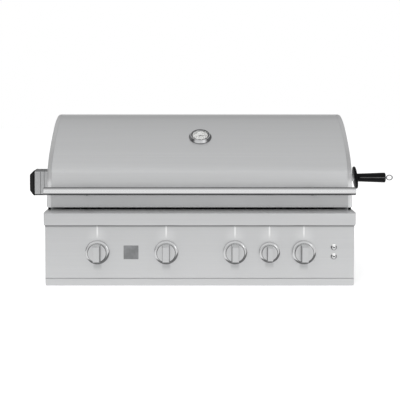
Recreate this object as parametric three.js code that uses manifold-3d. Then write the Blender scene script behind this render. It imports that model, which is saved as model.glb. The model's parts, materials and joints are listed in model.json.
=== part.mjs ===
// Built-in gas grill with a double-walled hood, four main burners, a rear burner and a rotisserie.
// Millimetres, +Z up, the front faces -Y. Inside the grill group y is counted back from the front
// of the band. The group then sets the origin under the middle of the firebox floor.

import * as THREE from 'three';
import { mergeVertices } from 'three/addons/utils/BufferGeometryUtils.js';
import Module from 'manifold-3d';

const wasm = await Module();
wasm.setup();

// Clearances and sheet gauges
const seat = 0.3;
const weldShare = 0.001;
const overrun = 6;
const sheet = 1.5;
const bodySheet = 2;
const bracketPlate = 3;

// Front: ledge, band and control panel
const bandWidth = 977;
const ledgeHeight = 232;
const ledgeDepth = 86;
const bandHeight = 41;
const bandNose = 4;
const bandReturn = 24;
const bandCorner = 7;
const endPlateDepth = 36;
const panelWidth = 970;
const panelSetback = 9;
const panelDepth = 29;
const trayFrontHeight = 22.8;
const trayFrontLift = 1;
const trayFrontCorner = 5;
const traySeam = 0.6;

// Firebox
const fireboxWidth = 875;
const fireboxFront = 42;
const fireboxRear = 590;
const flangeWidth = 976;
const frontWallY = 89.5;
const frontWallFlange = 27;
const frontWallFoot = 34;
const rearWallY = 575;
const rearWallRise = 135;
const rearWallFlange = 14;
const shelfDepth = 15;
const grateSeatDrop = 22.5;
const tamerSeatDrop = 77.5;
const bumperInset = 8;
const bumperY = 78;
const bumperRadius = 4.5;

// Hood profile, heights counted from the ledge and depths from the band's front
const hoodWidth = 976;
const hoodLift = 8;
const lipY = 70;
const lipReturn = 13.5;
const creaseY = 86;
const creaseHeight = 119;
const shoulderPullY = 97;
const shoulderPullHeight = 152;
const shoulderY = 150;
const shoulderHeight = 191;
const crownPullY = 286;
const crownY = 385;
const crownHeight = 290;
const backPullY = 610;
const backY = 630;
const backHeight = 150;
const tailY = 627;
const tailHeight = 110;
const linerGap = 14;
const rimWidth = 14;
const rimRound = 5;
const hingeY = 560;
const hingeHeight = 75;
const hingeHeel = 67;
const pinRadius = 6;
const pinLength = 36;
const earInset = 34;
const earPlate = 4;
const earWidth = 50;

// Hood handle
const handleLength = 978;
const handleRadius = 12.5;
const handleChamfer = 2;
const handleStandoff = 66;
const handleRise = 50;
const postRadius = 9;
const postSpacing = 720;

// Thermometer
const gaugeShift = 2.5;
const gaugeDepthShare = 0.187;
const gaugeRadius = 37.4;
const gaugeEdgeHeight = 4.7;
const gaugeShoulderRadius = 35;
const gaugeShoulderHeight = 8.3;
const gaugeRimHeight = 9.5;
const gaugeFaceRadius = 26.5;
const gaugeFloor = 3.5;
const gaugeStemRadius = 4.5;
const gaugeStemLength = 60;
const dialThickness = 1;
const lensThickness = 1.2;
const lensHeight = 7;
const needleLength = 19;
const needleTailShare = 0.25;
const needleWidth = 1.8;
const needleHub = 2.4;
const needleThickness = 0.7;

// Knobs, valves and gas
const burnerPitch = 216;
const burnerShift = 3;
const knobDrop = 125;
const bezelRadius = 37.5;
const rearBezelRadius = 32.7;
const bezelHeight = 9;
const bezelWall = 6;
const bezelFall = 1.8;
const bezelRoll = 1;
const bezelFloor = 3;
const knobRadius = 30.5;
const rearKnobRadius = 26;
const knobTravel = 4;
const knobDisc = 8.5;
const knobReach = 50;
const knobEdge = 2;
const gripWidth = 26;
const rearGripWidth = 20;
const gripFrontWidthShare = 0.82;
const gripFrontLengthShare = 0.76;
const stemRadius = 4;
const stemCollarRadius = 7;
const stemCollar = 4;
const stemHoleRadius = 10;
const stemReach = 29;
const valveFront = 24;
const valveWidth = 26;
const valveTopRise = 14;
const valveBodyY = 34;
const valveBodyDepth = 32;
const valveBossRadius = 9;
const spigotRadius = 4.5;
const spigotTip = 86;
const manifoldRadius = 10.6;
const manifoldY = 62;
const manifoldDrop = 26;
const manifoldStart = 385;
const manifoldEnd = 415;
const unionRadius = 16;
const unionLength = 24;
const manifoldLugWidth = 18;
const manifoldLugHeight = 10;
const manifoldWall = 3;
const inletHoleRadius = 20;

// Lights and switches
const lightOffsetY = 5;
const lensRadius = 2.3;
const lensDrop = 1;
const railThickness = 3;
const railWidth = 3.6;
const railOverhang = 12;
const switchX = 421;
const switchRise = 1.4;
const switchSpacing = 28.5;
const switchRadius = 9.5;
const switchSleeveRadius = 8;
const switchReach = 4;
const switchBodyDepth = 20;
const switchBodyMargin = 4;
const buttonRadius = 5.6;
const buttonLength = 18;
const buttonTravel = 2.5;
const buttonStandout = 1.5;

// Burners, tamers and grates
const burnerRadius = 12.5;
const burnerSpread = 48;
const burnerMouthY = 78;
const burnerMouthDepth = 16;
const burnerMouthRadius = 8.5;
const burnerNeckY = 150;
const burnerLegY = 205;
const burnerRearY = 543;
const burnerPinRadius = 4;
const tamerWidth = 156;
const tamerRise = 36;
const tamerFlat = 12;
const grateRodRadius = 4;
const grateRodCount = 10;
const grateRodPitch = 21.4;
const grateBarWidth = 200;
const grateBarInset = 7;
const grateBarRadius = 4;
const rearBurnerWidth = 620;
const rearBurnerHeight = 100;
const rearBurnerLift = 17;
const rearBurnerDepth = 28;
const rearBurnerRim = 10;
const rearBurnerRecess = 18;
const tileThickness = 12;

// Grease tray
const trayWidth = 856;
const trayHeight = 18;
const trayLength = 518;
const trayOverlap = 3;

// Rotisserie
const spitY = 330;
const spitHeight = 76;
const spitBar = 8;
const spitLeft = 508;
const spitRight = 600;
const slotWidth = 34;
const slotShift = 5;
const slotHeadroom = 15;
const bracketGap = 3;
const bracketWidth = 68;
const bracketFoot = 18;
const bracketShoulder = 14;
const motorWidth = 66;
const motorDepth = 76;
const motorHeight = 85;
const motorBottom = 18.3;
const motorFrontY = 292;
const motorCoverDepth = 19;
const motorCoverBevel = 14;
const motorSocketRadius = 7.2;
const motorSocketDepth = 18;
const cordGlandRadius = 6;
const cordGlandLength = 9;
const bushRadius = 12.6;
const bushGrooveRadius = 8.5;
const bushFlangeRadius = 13;
const bushFlange = 1.5;
const bushEnd = 533;
const guardRadius = 38.5;
const guardThickness = 3.5;
const guardTiltDegrees = 8;
const guardHoleRadius = 7;
const gripStart = 545;
const gripEnd = 644.5;
const gripStartRadius = 14.2;
const gripEndRadius = 17.1;
const gripRound = 4;
const loopRadius = 9;
const loopWire = 1.4;
const loopStem = 6;
const forkOffset = 185;
const forkHubRadius = 12;
const forkHubLength = 22;
const forkSpread = 19;
const forkTineRadius = 2.5;
const forkTipRadius = 0.8;
const forkTineLength = 92;
const forkBarWidth = 8;
const forkBarThickness = 4;
const forkScrewRadius = 3.5;
const forkScrewLength = 16;

// Facets round each kind of round piece, and steps along each kind of curve
const roundSides = 24;
const smallSides = 12;
const tubeSides = 8;
const rodSides = 6;
const shoulderSteps = 6;
const domeSteps = 10;
const earSteps = 10;
const heelSteps = 6;
const noseSteps = 3;
const cornerSteps = 4;
const burnerSteps = 20;
const loopSteps = 16;

// Finishes
function finish(color, roughness, metalness) {
  return new THREE.MeshStandardMaterial({ color, roughness, metalness });
}

const brushedSteel = finish(0xc2c3c4, 0.38, 1);
const polishedSteel = finish(0xd4d5d6, 0.16, 1);
const plainSteel = finish(0xa9abad, 0.5, 1);
const blackPlastic = finish(0x161616, 0.55, 0);
const ceramic = finish(0xd8cfbe, 0.9, 0);
const brass = finish(0xb89350, 0.35, 1);
const whiteEnamel = finish(0xf0f0ee, 0.4, 0);
const darkPaint = finish(0x2c2c2e, 0.5, 0);
const clearGlass = finish(0xeef2f4, 0.05, 0);
const lampLens = finish(0xf7f9ff, 0.2, 0);

// Solids

function solidOf(geometry) {
  const bare = geometry.index ? geometry.toNonIndexed() : geometry.clone();
  bare.deleteAttribute('normal');
  bare.deleteAttribute('uv');
  const merged = mergeVertices(bare, seat * weldShare);
  const index = merged.index.array;
  const triangles = [];
  for (let i = 0; i < index.length; i += 3) {
    const [a, b, c] = index.slice(i, i + 3);
    if (a !== b && b !== c && c !== a) triangles.push(a, b, c);
  }
  return new wasm.Manifold(new wasm.Mesh({
    numProp: 3,
    vertProperties: new Float32Array(merged.attributes.position.array),
    triVerts: new Uint32Array(triangles),
  }));
}

function geometryOf(solid) {
  const mesh = solid.getMesh();
  const geometry = new THREE.BufferGeometry();
  geometry.setAttribute('position', new THREE.BufferAttribute(mesh.vertProperties, 3));
  geometry.setIndex(new THREE.BufferAttribute(mesh.triVerts, 1));
  geometry.computeVertexNormals();
  return geometry;
}

function cut(base, ...cutters) {
  return geometryOf(cutters.reduce((solid, tool) => solid.subtract(solidOf(tool)), solidOf(base)));
}

function join(base, ...pieces) {
  return geometryOf(pieces.reduce((solid, piece) => solid.add(solidOf(piece)), solidOf(base)));
}

function common(base, ...limits) {
  return geometryOf(limits.reduce((solid, limit) => solid.intersect(solidOf(limit)), solidOf(base)));
}

// Basic forms, each given by its real limits in x, y and z

function block([x0, x1], [y0, y1], [z0, z1]) {
  const box = new THREE.BoxGeometry(x1 - x0, y1 - y0, z1 - z0);
  return box.translate((x0 + x1) / 2, (y0 + y1) / 2, (z0 + z1) / 2);
}

function round(axis, radius, [from, to], [u, v], sides = smallSides, endRadius = radius) {
  const rod = new THREE.CylinderGeometry(endRadius, radius, to - from, sides);
  rod.translate(0, (from + to) / 2, 0);
  if (axis === 'x') return rod.rotateZ(-Math.PI / 2).translate(0, u, v);
  if (axis === 'y') return rod.translate(u, 0, v);
  return rod.rotateX(Math.PI / 2).translate(u, v, 0);
}

// A cutter whose flats, not its corners, lie at the radius, so that a shaft of that size fits
function hole(axis, radius, span, place, sides = smallSides) {
  return round(axis, radius / Math.cos(Math.PI / sides), span, place, sides);
}

// A closed profile of [radius, height] pairs turned about the y axis
function turned(profile, sides = roundSides) {
  const points = profile.map(([r, h]) => new THREE.Vector2(r, h));
  if (THREE.ShapeUtils.area(points) < 0) points.reverse();
  const closed = points[0].x > 0 || points.at(-1).x > 0;
  return new THREE.LatheGeometry(closed ? [...points, points[0]] : points, sides);
}

// An outline in (y, z) pushed along x
function alongX(outline, [from, to], options = {}) {
  const shape = outline instanceof THREE.Shape ? outline : new THREE.Shape(outline);
  const body = new THREE.ExtrudeGeometry(shape, { depth: to - from, bevelEnabled: false, ...options });
  const basis = new THREE.Matrix4().makeBasis(
    new THREE.Vector3(0, 1, 0), new THREE.Vector3(0, 0, 1), new THREE.Vector3(1, 0, 0));
  return body.applyMatrix4(basis).translate(from, 0, 0);
}

// An outline in (x, z) pushed along y
function alongY(outline, [from, to], options = {}) {
  const shape = outline instanceof THREE.Shape ? outline : new THREE.Shape(outline);
  const body = new THREE.ExtrudeGeometry(shape, { depth: to - from, bevelEnabled: false, ...options });
  return body.rotateX(Math.PI / 2).translate(0, to, 0);
}

function spread(value) {
  return [-value, value];
}

function point(x, y) {
  return new THREE.Vector2(x, y);
}

// The same line moved sideways, to the left of its run where distance is positive
function offsetLine(points, distance, closed = false) {
  const count = points.length;
  return points.map((here, i) => {
    const before = points[closed ? (i + count - 1) % count : Math.max(i - 1, 0)];
    const after = points[closed ? (i + 1) % count : Math.min(i + 1, count - 1)];
    const into = here.clone().sub(before).normalize();
    const out = after.clone().sub(here).normalize();
    if (into.lengthSq() === 0) into.copy(out);
    if (out.lengthSq() === 0) out.copy(into);
    const side = point(-into.y - out.y, into.x + out.x);
    return here.clone().addScaledVector(side, distance / (1 + into.dot(out)));
  });
}

// A bent sheet: its outline is the line and the line moved sideways by the gauge
function bentSheet(points, gauge) {
  return [...points, ...offsetLine(points, gauge).reverse()];
}

function arc(centreX, centreY, radius, fromDegrees, toDegrees, steps) {
  return Array.from({ length: steps + 1 }, (_, i) => {
    const angle = THREE.MathUtils.degToRad(fromDegrees + ((toDegrees - fromDegrees) * i) / steps);
    return point(centreX + radius * Math.cos(angle), centreY + radius * Math.sin(angle));
  });
}

function roundedCorners(halfWidth, bottom, top, radius) {
  return [
    point(-halfWidth, top),
    ...arc(-halfWidth + radius, bottom + radius, radius, 180, 270, cornerSteps),
    ...arc(halfWidth - radius, bottom + radius, radius, 270, 360, cornerSteps),
    point(halfWidth, top),
  ];
}

// Places that several pieces share

const panelTop = ledgeHeight - bandHeight - seat;
const panelBottom = trayFrontLift + trayFrontHeight + traySeam;
const panelBack = panelSetback + panelDepth;
const grateSeatHeight = ledgeHeight - grateSeatDrop;
const tamerSeatHeight = ledgeHeight - tamerSeatDrop;
const knobHeight = ledgeHeight - knobDrop;
const manifoldHeight = knobHeight - manifoldDrop;
const switchHeight = knobHeight + switchRise;
const wallInner = fireboxWidth / 2 - bodySheet;
const wallReach = wallInner - seat;
const frontWallInner = frontWallY + sheet;
const rearWallFront = rearWallY - sheet;
const hoodHalf = hoodWidth / 2;
const skinReach = hoodHalf - rimWidth - seat;
const hingeZ = ledgeHeight + hingeHeight;
const spitZ = ledgeHeight + spitHeight;
const bracketInner = hoodHalf + bracketGap;
const bracketOuter = bracketInner + bracketPlate;
const tamerPlaces = [-1.5, -0.5, 0.5, 1.5].map((step) => step * burnerPitch);
const burnerPlaces = tamerPlaces.map((x) => x + burnerShift);
const rearKnobX = (burnerPlaces[2] + burnerPlaces[3]) / 2;
const knobPlaces = [...burnerPlaces, rearKnobX];
const bezelRadii = [...burnerPlaces.map(() => bezelRadius), rearBezelRadius];
const knobRadii = [...burnerPlaces.map(() => knobRadius), rearKnobRadius];
const gripWidths = [...burnerPlaces.map(() => gripWidth), rearGripWidth];
const stationNames = ['1', '2', '3', '4', 'rear'];

const lip = point(lipY, ledgeHeight + hoodLift);
const crease = point(creaseY, ledgeHeight + creaseHeight);
const shoulder = new THREE.QuadraticBezierCurve(
  crease,
  point(shoulderPullY, ledgeHeight + shoulderPullHeight),
  point(shoulderY, ledgeHeight + shoulderHeight));
const front = new THREE.QuadraticBezierCurve(
  shoulder.v2, point(crownPullY, ledgeHeight + crownHeight), point(crownY, ledgeHeight + crownHeight));
const back = new THREE.QuadraticBezierCurve(
  front.v2, point(backPullY, ledgeHeight + crownHeight), point(backY, ledgeHeight + backHeight));
const tail = point(tailY, ledgeHeight + tailHeight);
const hoodLine = [
  lip,
  ...shoulder.getPoints(shoulderSteps),
  ...front.getPoints(domeSteps).slice(1),
  ...back.getPoints(domeSteps).slice(1),
  tail,
];

function add(name, geometry, material, parent = grill) {
  const mesh = new THREE.Mesh(geometry, material);
  mesh.name = name;
  parent.add(mesh);
  return mesh;
}

const grill = new THREE.Group();
grill.position.y = -(fireboxFront + fireboxRear) / 2;

// Firebox: a folded U with hanging flanges and hinge ears

function hingeEar(side) {
  const x = side * (hoodHalf - earInset);
  const outline = [
    point(hingeY - earWidth / 2, ledgeHeight - bodySheet / 2),
    point(hingeY + earWidth / 2, ledgeHeight - bodySheet / 2),
    ...arc(hingeY, hingeZ, earWidth / 2, 0, 180, earSteps),
  ];
  return alongX(outline, [x - earPlate / 2, x + earPlate / 2]);
}

function fireboxBody() {
  const halfFlange = flangeWidth / 2;
  const halfWall = fireboxWidth / 2;
  const under = ledgeHeight - bodySheet;
  const fold = [
    point(-halfFlange, under), point(-halfWall, under), point(-halfWall, 0),
    point(halfWall, 0), point(halfWall, under), point(halfFlange, under),
  ];
  const folded = alongY(bentSheet(fold, bodySheet), [fireboxFront, fireboxRear]);
  const ledgeRelief = block(
    spread(halfFlange + overrun),
    [fireboxFront - overrun, ledgeDepth + seat],
    [under, ledgeHeight + overrun]);
  const joined = join(cut(folded, ledgeRelief), hingeEar(-1), hingeEar(1));
  const pinHole = hole('x', pinRadius + seat, spread(hoodHalf), [hingeY, hingeZ], smallSides);
  const inletHole = hole(
    'x', inletHoleRadius, [halfWall - bodySheet - overrun, halfWall + overrun],
    [manifoldY, manifoldHeight], smallSides);
  return cut(joined, pinHole, inletHole);
}

function shelf(fromY, toY, height) {
  return block(spread(wallReach), [fromY, toY], [height - sheet, height]);
}

function fireboxFrontWall() {
  const top = ledgeHeight - sheet - seat - sheet;
  const line = [
    point(frontWallY - frontWallFlange, top), point(frontWallY, top), point(frontWallY, frontWallFoot)];
  const wall = alongX(bentSheet(line, sheet), spread(wallReach));
  const inside = frontWallInner - sheet / 2;
  const joined = join(
    wall,
    shelf(inside, frontWallInner + shelfDepth, grateSeatHeight),
    shelf(inside, frontWallInner + shelfDepth, tamerSeatHeight));
  const holes = burnerPlaces.map((x) => hole(
    'y', burnerRadius + seat, [frontWallY - overrun, frontWallInner + overrun], [x, knobHeight], smallSides));
  return cut(joined, ...holes);
}

function fireboxRearWall() {
  const top = ledgeHeight + rearWallRise - sheet;
  const line = [
    point(rearWallY, bodySheet + seat), point(rearWallY, top), point(rearWallY + rearWallFlange, top)];
  const wall = alongX(bentSheet(line, sheet), spread(wallReach));
  const inside = rearWallFront + sheet / 2;
  const joined = join(
    wall,
    shelf(rearWallFront - shelfDepth, inside, grateSeatHeight),
    shelf(rearWallFront - shelfDepth, inside, tamerSeatHeight));
  const holes = burnerPlaces.map((x) => hole(
    'y', burnerPinRadius + seat, [rearWallFront - overrun, rearWallY + overrun],
    [x, knobHeight], smallSides));
  return cut(joined, ...holes);
}

// Ledge with the two posts that the shut hood rests on, and the control panel

function frontLedge() {
  const bottom = ledgeHeight - bandHeight;
  const line = [
    point(ledgeDepth, ledgeHeight),
    ...arc(bandNose, ledgeHeight - bandNose, bandNose, 90, 180, noseSteps),
    ...arc(bandNose, bottom + bandNose, bandNose, 180, 270, noseSteps),
    point(bandReturn, bottom),
  ];
  const half = bandWidth / 2;
  const folded = alongX(bentSheet(line, sheet), spread(half));
  const endPlate = (side) => block(
    side < 0 ? [-half, sheet - half] : [half - sheet, half],
    [sheet / 2, endPlateDepth], [bottom + sheet / 2, ledgeHeight - sheet / 2]);
  const bumper = (side) => round(
    'z', bumperRadius, [ledgeHeight - sheet / 2, ledgeHeight + hoodLift - seat],
    [side * (hoodHalf - bumperInset), bumperY], smallSides);
  const closed = join(folded, endPlate(-1), endPlate(1));
  const frontView = alongY(
    roundedCorners(half, bottom, ledgeHeight + overrun, bandCorner), [-overrun, ledgeDepth + overrun]);
  const lampHoles = knobPlaces.map((x) => hole(
    'z', lensRadius + seat, [bottom - overrun, bottom + sheet + overrun], [x, lightOffsetY], tubeSides));
  return join(cut(common(closed, frontView), ...lampHoles), bumper(-1), bumper(1));
}

function controlPanel() {
  const half = panelWidth / 2;
  const pan = cut(
    block(spread(half), [panelSetback, panelBack], [panelBottom, panelTop]),
    block(
      spread(half - sheet),
      [panelSetback + sheet, panelBack + overrun],
      [panelBottom + sheet, panelTop - sheet]));
  const through = [panelSetback - overrun, panelSetback + sheet + overrun];
  const stemHoles = knobPlaces.map((x) => hole('y', stemHoleRadius, through, [x, knobHeight], smallSides));
  const switchHoles = switchPlaces().map((z) => hole(
    'y', switchSleeveRadius + seat, through, [switchX, z], smallSides));
  return cut(pan, ...stemHoles, ...switchHoles);
}

function switchPlaces() {
  return [switchHeight + switchSpacing / 2, switchHeight - switchSpacing / 2];
}

// One block behind the panel carries both switches. Their bezels stand in front of the panel
function switchBlock() {
  const backFace = panelSetback + sheet + seat;
  const body = block(
    [switchX - switchRadius - switchBodyMargin, switchX + switchRadius + switchBodyMargin],
    [backFace, backFace + switchBodyDepth],
    [switchHeight - switchSpacing / 2 - switchRadius - switchBodyMargin,
      switchHeight + switchSpacing / 2 + switchRadius + switchBodyMargin]);
  const bezelFace = panelSetback - seat;
  const sleeves = switchPlaces().flatMap((z) => [
    round('y', switchSleeveRadius, [bezelFace - sheet / 2, backFace + sheet], [switchX, z], smallSides),
    round(
      'y', switchRadius - sheet, [bezelFace - switchReach, bezelFace],
      [switchX, z], roundSides, switchRadius),
  ]);
  const bores = switchPlaces().map((z) => hole(
    'y', buttonRadius + seat, [bezelFace - switchReach - overrun, bezelFace + buttonLength + buttonTravel],
    [switchX, z], smallSides));
  return cut(join(body, ...sleeves), ...bores);
}

function switchButton() {
  const edge = buttonStandout / 2;
  return turned([
    [0, 0], [buttonRadius - edge, 0], [buttonRadius, edge],
    [buttonRadius, buttonLength - edge], [buttonRadius - edge, buttonLength], [0, buttonLength],
  ], smallSides);
}

function lightRail() {
  const floor = ledgeHeight - bandHeight + sheet + seat;
  const bar = block(
    [knobPlaces[0] - railOverhang, knobPlaces[3] + railOverhang],
    [lightOffsetY - railWidth / 2, lightOffsetY + railWidth / 2], [floor, floor + railThickness]);
  const lamps = knobPlaces.map((x) => round(
    'z', lensRadius, [ledgeHeight - bandHeight - lensDrop, floor + railThickness / 2],
    [x, lightOffsetY], tubeSides));
  return join(bar, ...lamps);
}

// Gas train

function gasManifold() {
  const axis = [manifoldY, manifoldHeight];
  const pipe = round('x', manifoldRadius, [-manifoldStart, manifoldEnd], axis, smallSides);
  const union = round(
    'x', unionRadius, [manifoldEnd - unionLength, manifoldEnd + unionLength / 2], axis, rodSides);
  const valves = knobPlaces.flatMap((x) => [
    block(
      [x - valveWidth / 2, x + valveWidth / 2], [valveBodyY, valveBodyY + valveBodyDepth],
      [manifoldHeight, knobHeight + valveTopRise]),
    round('y', valveBossRadius, [valveFront, valveBodyY + sheet], [x, knobHeight], tubeSides),
  ]);
  const spigots = burnerPlaces.map((x) => round(
    'y', spigotRadius, [valveBodyY + valveBodyDepth - sheet, spigotTip], [x, knobHeight], tubeSides));
  const lugs = tamerPlaces.slice(1, 3).map((x) => block(
    [x - manifoldLugWidth / 2, x + manifoldLugWidth / 2], [manifoldY, frontWallY - seat],
    [manifoldHeight - manifoldLugHeight / 2, manifoldHeight + manifoldLugHeight / 2]));
  const train = join(pipe, union, ...valves, ...spigots, ...lugs);
  const inlet = hole(
    'x', manifoldRadius - manifoldWall, [manifoldEnd - unionLength / 2, manifoldEnd + unionLength],
    axis, smallSides);
  return cut(train, inlet);
}

// The stem turns in the valve and ends inside the knob. Heights run back from the panel face
function valveStem() {
  const foot = valveFront - panelSetback - seat;
  return turned([
    [0, -stemReach], [stemRadius, -stemReach], [stemRadius, foot - stemCollar],
    [stemCollarRadius, foot - stemCollar], [stemCollarRadius, foot], [0, foot],
  ], tubeSides);
}

function knobBezel(radius) {
  const inner = radius - bezelWall;
  const shoulder = bezelHeight - bezelFall;
  return turned([
    [stemHoleRadius, -seat], [radius, -seat], [radius, bezelRoll - shoulder],
    [radius - bezelRoll, -shoulder], [inner, -bezelHeight],
    [inner, -bezelFloor], [stemHoleRadius, -bezelFloor],
  ]);
}

// A disc with a tapered grip bar across it, and a blind bore for the stem
function knob(radius, width) {
  const rear = -(bezelHeight + knobTravel + seat);
  const face = rear - knobDisc;
  const disc = turned([
    [0, rear], [radius - knobEdge, rear], [radius, rear - knobEdge],
    [radius, face + knobEdge], [radius - knobEdge, face], [0, face],
  ]);
  const halfFront = radius * gripFrontLengthShare;
  const root = face + knobEdge;
  const side = alongX(
    [point(root, -radius), point(root, radius), point(-knobReach, halfFront), point(-knobReach, -halfFront)],
    spread(radius));
  const frontHalf = (width * gripFrontWidthShare) / 2;
  const plan = new THREE.ExtrudeGeometry(
    new THREE.Shape([
      point(-width / 2, root), point(width / 2, root),
      point(frontHalf, -knobReach), point(-frontHalf, -knobReach)]),
    { depth: radius * 2, bevelEnabled: false }).translate(0, 0, -radius);
  const barrel = round('y', radius - knobEdge / 2, [-knobReach - overrun, rear], [0, 0], roundSides);
  const bore = hole(
    'y', stemRadius + seat, [-stemReach - knobTravel - sheet, rear + overrun], [0, 0], smallSides);
  return cut(join(disc, common(side, plan, barrel)), bore);
}

// Burners, flame tamers and grates

// A tube that goes back on one side, turns at the rear and comes forward on the other
function burner() {
  const bendY = burnerRearY - burnerSpread;
  const route = [
    [0, burnerMouthY], [0, (burnerMouthY + burnerNeckY) / 2], [0, burnerNeckY],
    [-burnerSpread, burnerLegY], [-burnerSpread, bendY], [0, burnerRearY],
    [burnerSpread, bendY], [burnerSpread, burnerLegY],
  ].map(([x, y]) => new THREE.Vector3(x, y, 0));
  const extrudePath = new THREE.CatmullRomCurve3(route, false, 'centripetal');
  const ring = new THREE.Shape(arc(0, 0, burnerRadius, 0, 360 - 360 / tubeSides, tubeSides - 1));
  const tube = new THREE.ExtrudeGeometry(ring, { extrudePath, steps: burnerSteps, bevelEnabled: false });
  const mouth = hole(
    'y', burnerMouthRadius, [burnerMouthY - overrun, burnerMouthY + burnerMouthDepth], [0, 0], smallSides);
  const pin = round('y', burnerPinRadius, [burnerRearY, rearWallY], [0, 0], smallSides);
  return cut(join(tube, pin), mouth);
}

function flameTamer() {
  const half = tamerWidth / 2;
  const low = tamerSeatHeight + seat;
  const line = [
    point(-half, low), point(tamerFlat - half, low), point(0, low + tamerRise),
    point(half - tamerFlat, low), point(half, low)];
  return alongY(bentSheet(line, sheet), [frontWallInner + seat, rearWallFront - seat]);
}

function cookingGrate() {
  const barZ = grateSeatHeight + seat + grateBarRadius;
  const rodZ = barZ + grateBarRadius + grateRodRadius / 2;
  const span = [frontWallInner + seat, rearWallFront - seat];
  const places = Array.from(
    { length: grateRodCount }, (_, i) => (i - (grateRodCount - 1) / 2) * grateRodPitch);
  const rods = places.map((x) => round('y', grateRodRadius, span, [x, rodZ], rodSides));
  const bars = [span[0] + grateBarInset, (span[0] + span[1]) / 2, span[1] - grateBarInset].map((y) => block(
    spread(grateBarWidth / 2),
    [y - grateBarRadius, y + grateBarRadius],
    [barZ - grateBarRadius, barZ + grateBarRadius]));
  return join(...bars.slice(0, 1), ...rods, ...bars.slice(1));
}

function rearBurnerHousing() {
  const base = ledgeHeight + rearBurnerLift;
  const faceY = rearWallFront - seat - rearBurnerDepth;
  return cut(
    block(spread(rearBurnerWidth / 2), [faceY, faceY + rearBurnerDepth], [base, base + rearBurnerHeight]),
    block(
      spread(rearBurnerWidth / 2 - rearBurnerRim), [faceY - overrun, faceY + rearBurnerRecess],
      [base + rearBurnerRim, base + rearBurnerHeight - rearBurnerRim]));
}

function rearBurnerTile() {
  const base = ledgeHeight + rearBurnerLift + rearBurnerRim;
  const backFace = rearWallFront - seat - rearBurnerDepth + rearBurnerRecess - seat;
  return block(
    spread(rearBurnerWidth / 2 - rearBurnerRim - seat), [backFace - tileThickness, backFace],
    [base + seat, base + rearBurnerHeight - rearBurnerRim - rearBurnerRim - seat]);
}

// Grease tray: the strip under the panel is its front, and the pan slides on the firebox floor
function greaseTray() {
  const half = panelWidth / 2;
  const top = trayFrontLift + trayFrontHeight;
  const frontBox = cut(
    block(spread(half), [panelSetback, panelBack], [trayFrontLift, top]),
    block(
      spread(half - sheet),
      [panelSetback + sheet, panelBack + overrun],
      [trayFrontLift + sheet, top + overrun]));
  const frontView = alongY(
    roundedCorners(half, trayFrontLift, top + overrun, trayFrontCorner),
    [panelSetback - overrun, panelBack + overrun]);
  const floor = bodySheet + seat;
  const halfPan = trayWidth / 2;
  const rear = panelBack + trayLength;
  const pan = cut(
    block(spread(halfPan), [panelBack - trayOverlap, rear], [floor, floor + trayHeight]),
    block(
      spread(halfPan - sheet), [panelBack - trayOverlap + sheet, rear - sheet],
      [floor + sheet, floor + trayHeight + overrun]));
  return join(common(frontBox, frontView), pan);
}

// Hood: a skin and a liner between two rolled end caps

function hoodSkin() {
  const bottom = lip.y;
  const line = [point(lipY + lipReturn, bottom), ...hoodLine];
  return cut(alongX(bentSheet(line, -sheet), spread(skinReach)), gaugeHole());
}

function hoodLiner() {
  const line = offsetLine(hoodLine, -linerGap);
  return cut(alongX(bentSheet(line, -sheet), spread(skinReach)), gaugeHole());
}

function hoodEnd() {
  const outline = [
    ...hoodLine,
    ...arc(hingeY, hingeZ, hingeHeel, 0, -90, heelSteps),
  ];
  const shell = alongX(outline, [hoodHalf - rimWidth - rimRound, hoodHalf - rimRound], {
    bevelEnabled: true, bevelThickness: rimRound, bevelSize: rimRound,
    bevelOffset: -rimRound, bevelSegments: 2,
  });
  const inside = hoodHalf - rimWidth;
  const trim = block(
    [inside - rimWidth - overrun, inside], [0, backY + overrun], [0, ledgeHeight + crownHeight + overrun]);
  const hollow = alongX(offsetLine(outline, -bodySheet, true), [inside - overrun, hoodHalf - bodySheet]);
  const slotY = spitY + slotShift;
  const slotHead = spitZ + slotHeadroom;
  const slotSpan = [inside - overrun, hoodHalf + overrun];
  const slot = block(
    slotSpan, [slotY - slotWidth / 2, slotY + slotWidth / 2], [ledgeHeight, slotHead]);
  const pan = cut(shell, trim, hollow, slot);
  const pin = round(
    'x', pinRadius, [hoodHalf - pinLength, hoodHalf - bodySheet / 2], [hingeY, hingeZ], smallSides);
  return join(pan, pin);
}

// The handle stands off the lower face of the hood, square to it
function handleFrame() {
  const rise = crease.clone().sub(lip).normalize();
  const foot = lip.clone().addScaledVector(rise, handleRise);
  return { foot, tilt: Math.atan2(rise.x, rise.y) };
}

function hoodHandle() {
  const { foot, tilt } = handleFrame();
  const tube = turned([
    [0, 0], [handleRadius - handleChamfer, 0], [handleRadius, handleChamfer],
    [handleRadius, handleLength - handleChamfer],
    [handleRadius - handleChamfer, handleLength], [0, handleLength],
  ]).rotateZ(-Math.PI / 2).translate(-handleLength / 2, -handleStandoff, 0);
  const posts = spread(postSpacing / 2).map(
    (x) => round('y', postRadius, [-handleStandoff, -seat], [x, 0], smallSides));
  return join(tube, ...posts).rotateX(-tilt).translate(0, foot.x, foot.y);
}

// Thermometer, built upright at the origin and then set square to the hood

function gaugeSeat() {
  const spot = front.getPoint(gaugeDepthShare);
  const run = front.getTangent(gaugeDepthShare);
  return { spot, slope: Math.atan2(run.y, run.x) };
}

function setOnHood(geometry) {
  const { spot, slope } = gaugeSeat();
  return geometry.rotateX(slope).translate(gaugeShift, spot.x, spot.y);
}

function gaugeHole() {
  return setOnHood(hole(
    'z', gaugeStemRadius + seat, [-linerGap - linerGap, linerGap], [0, 0], smallSides));
}

function uprightTurned(profile, sides = roundSides) {
  return turned(profile, sides).rotateX(Math.PI / 2);
}

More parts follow.
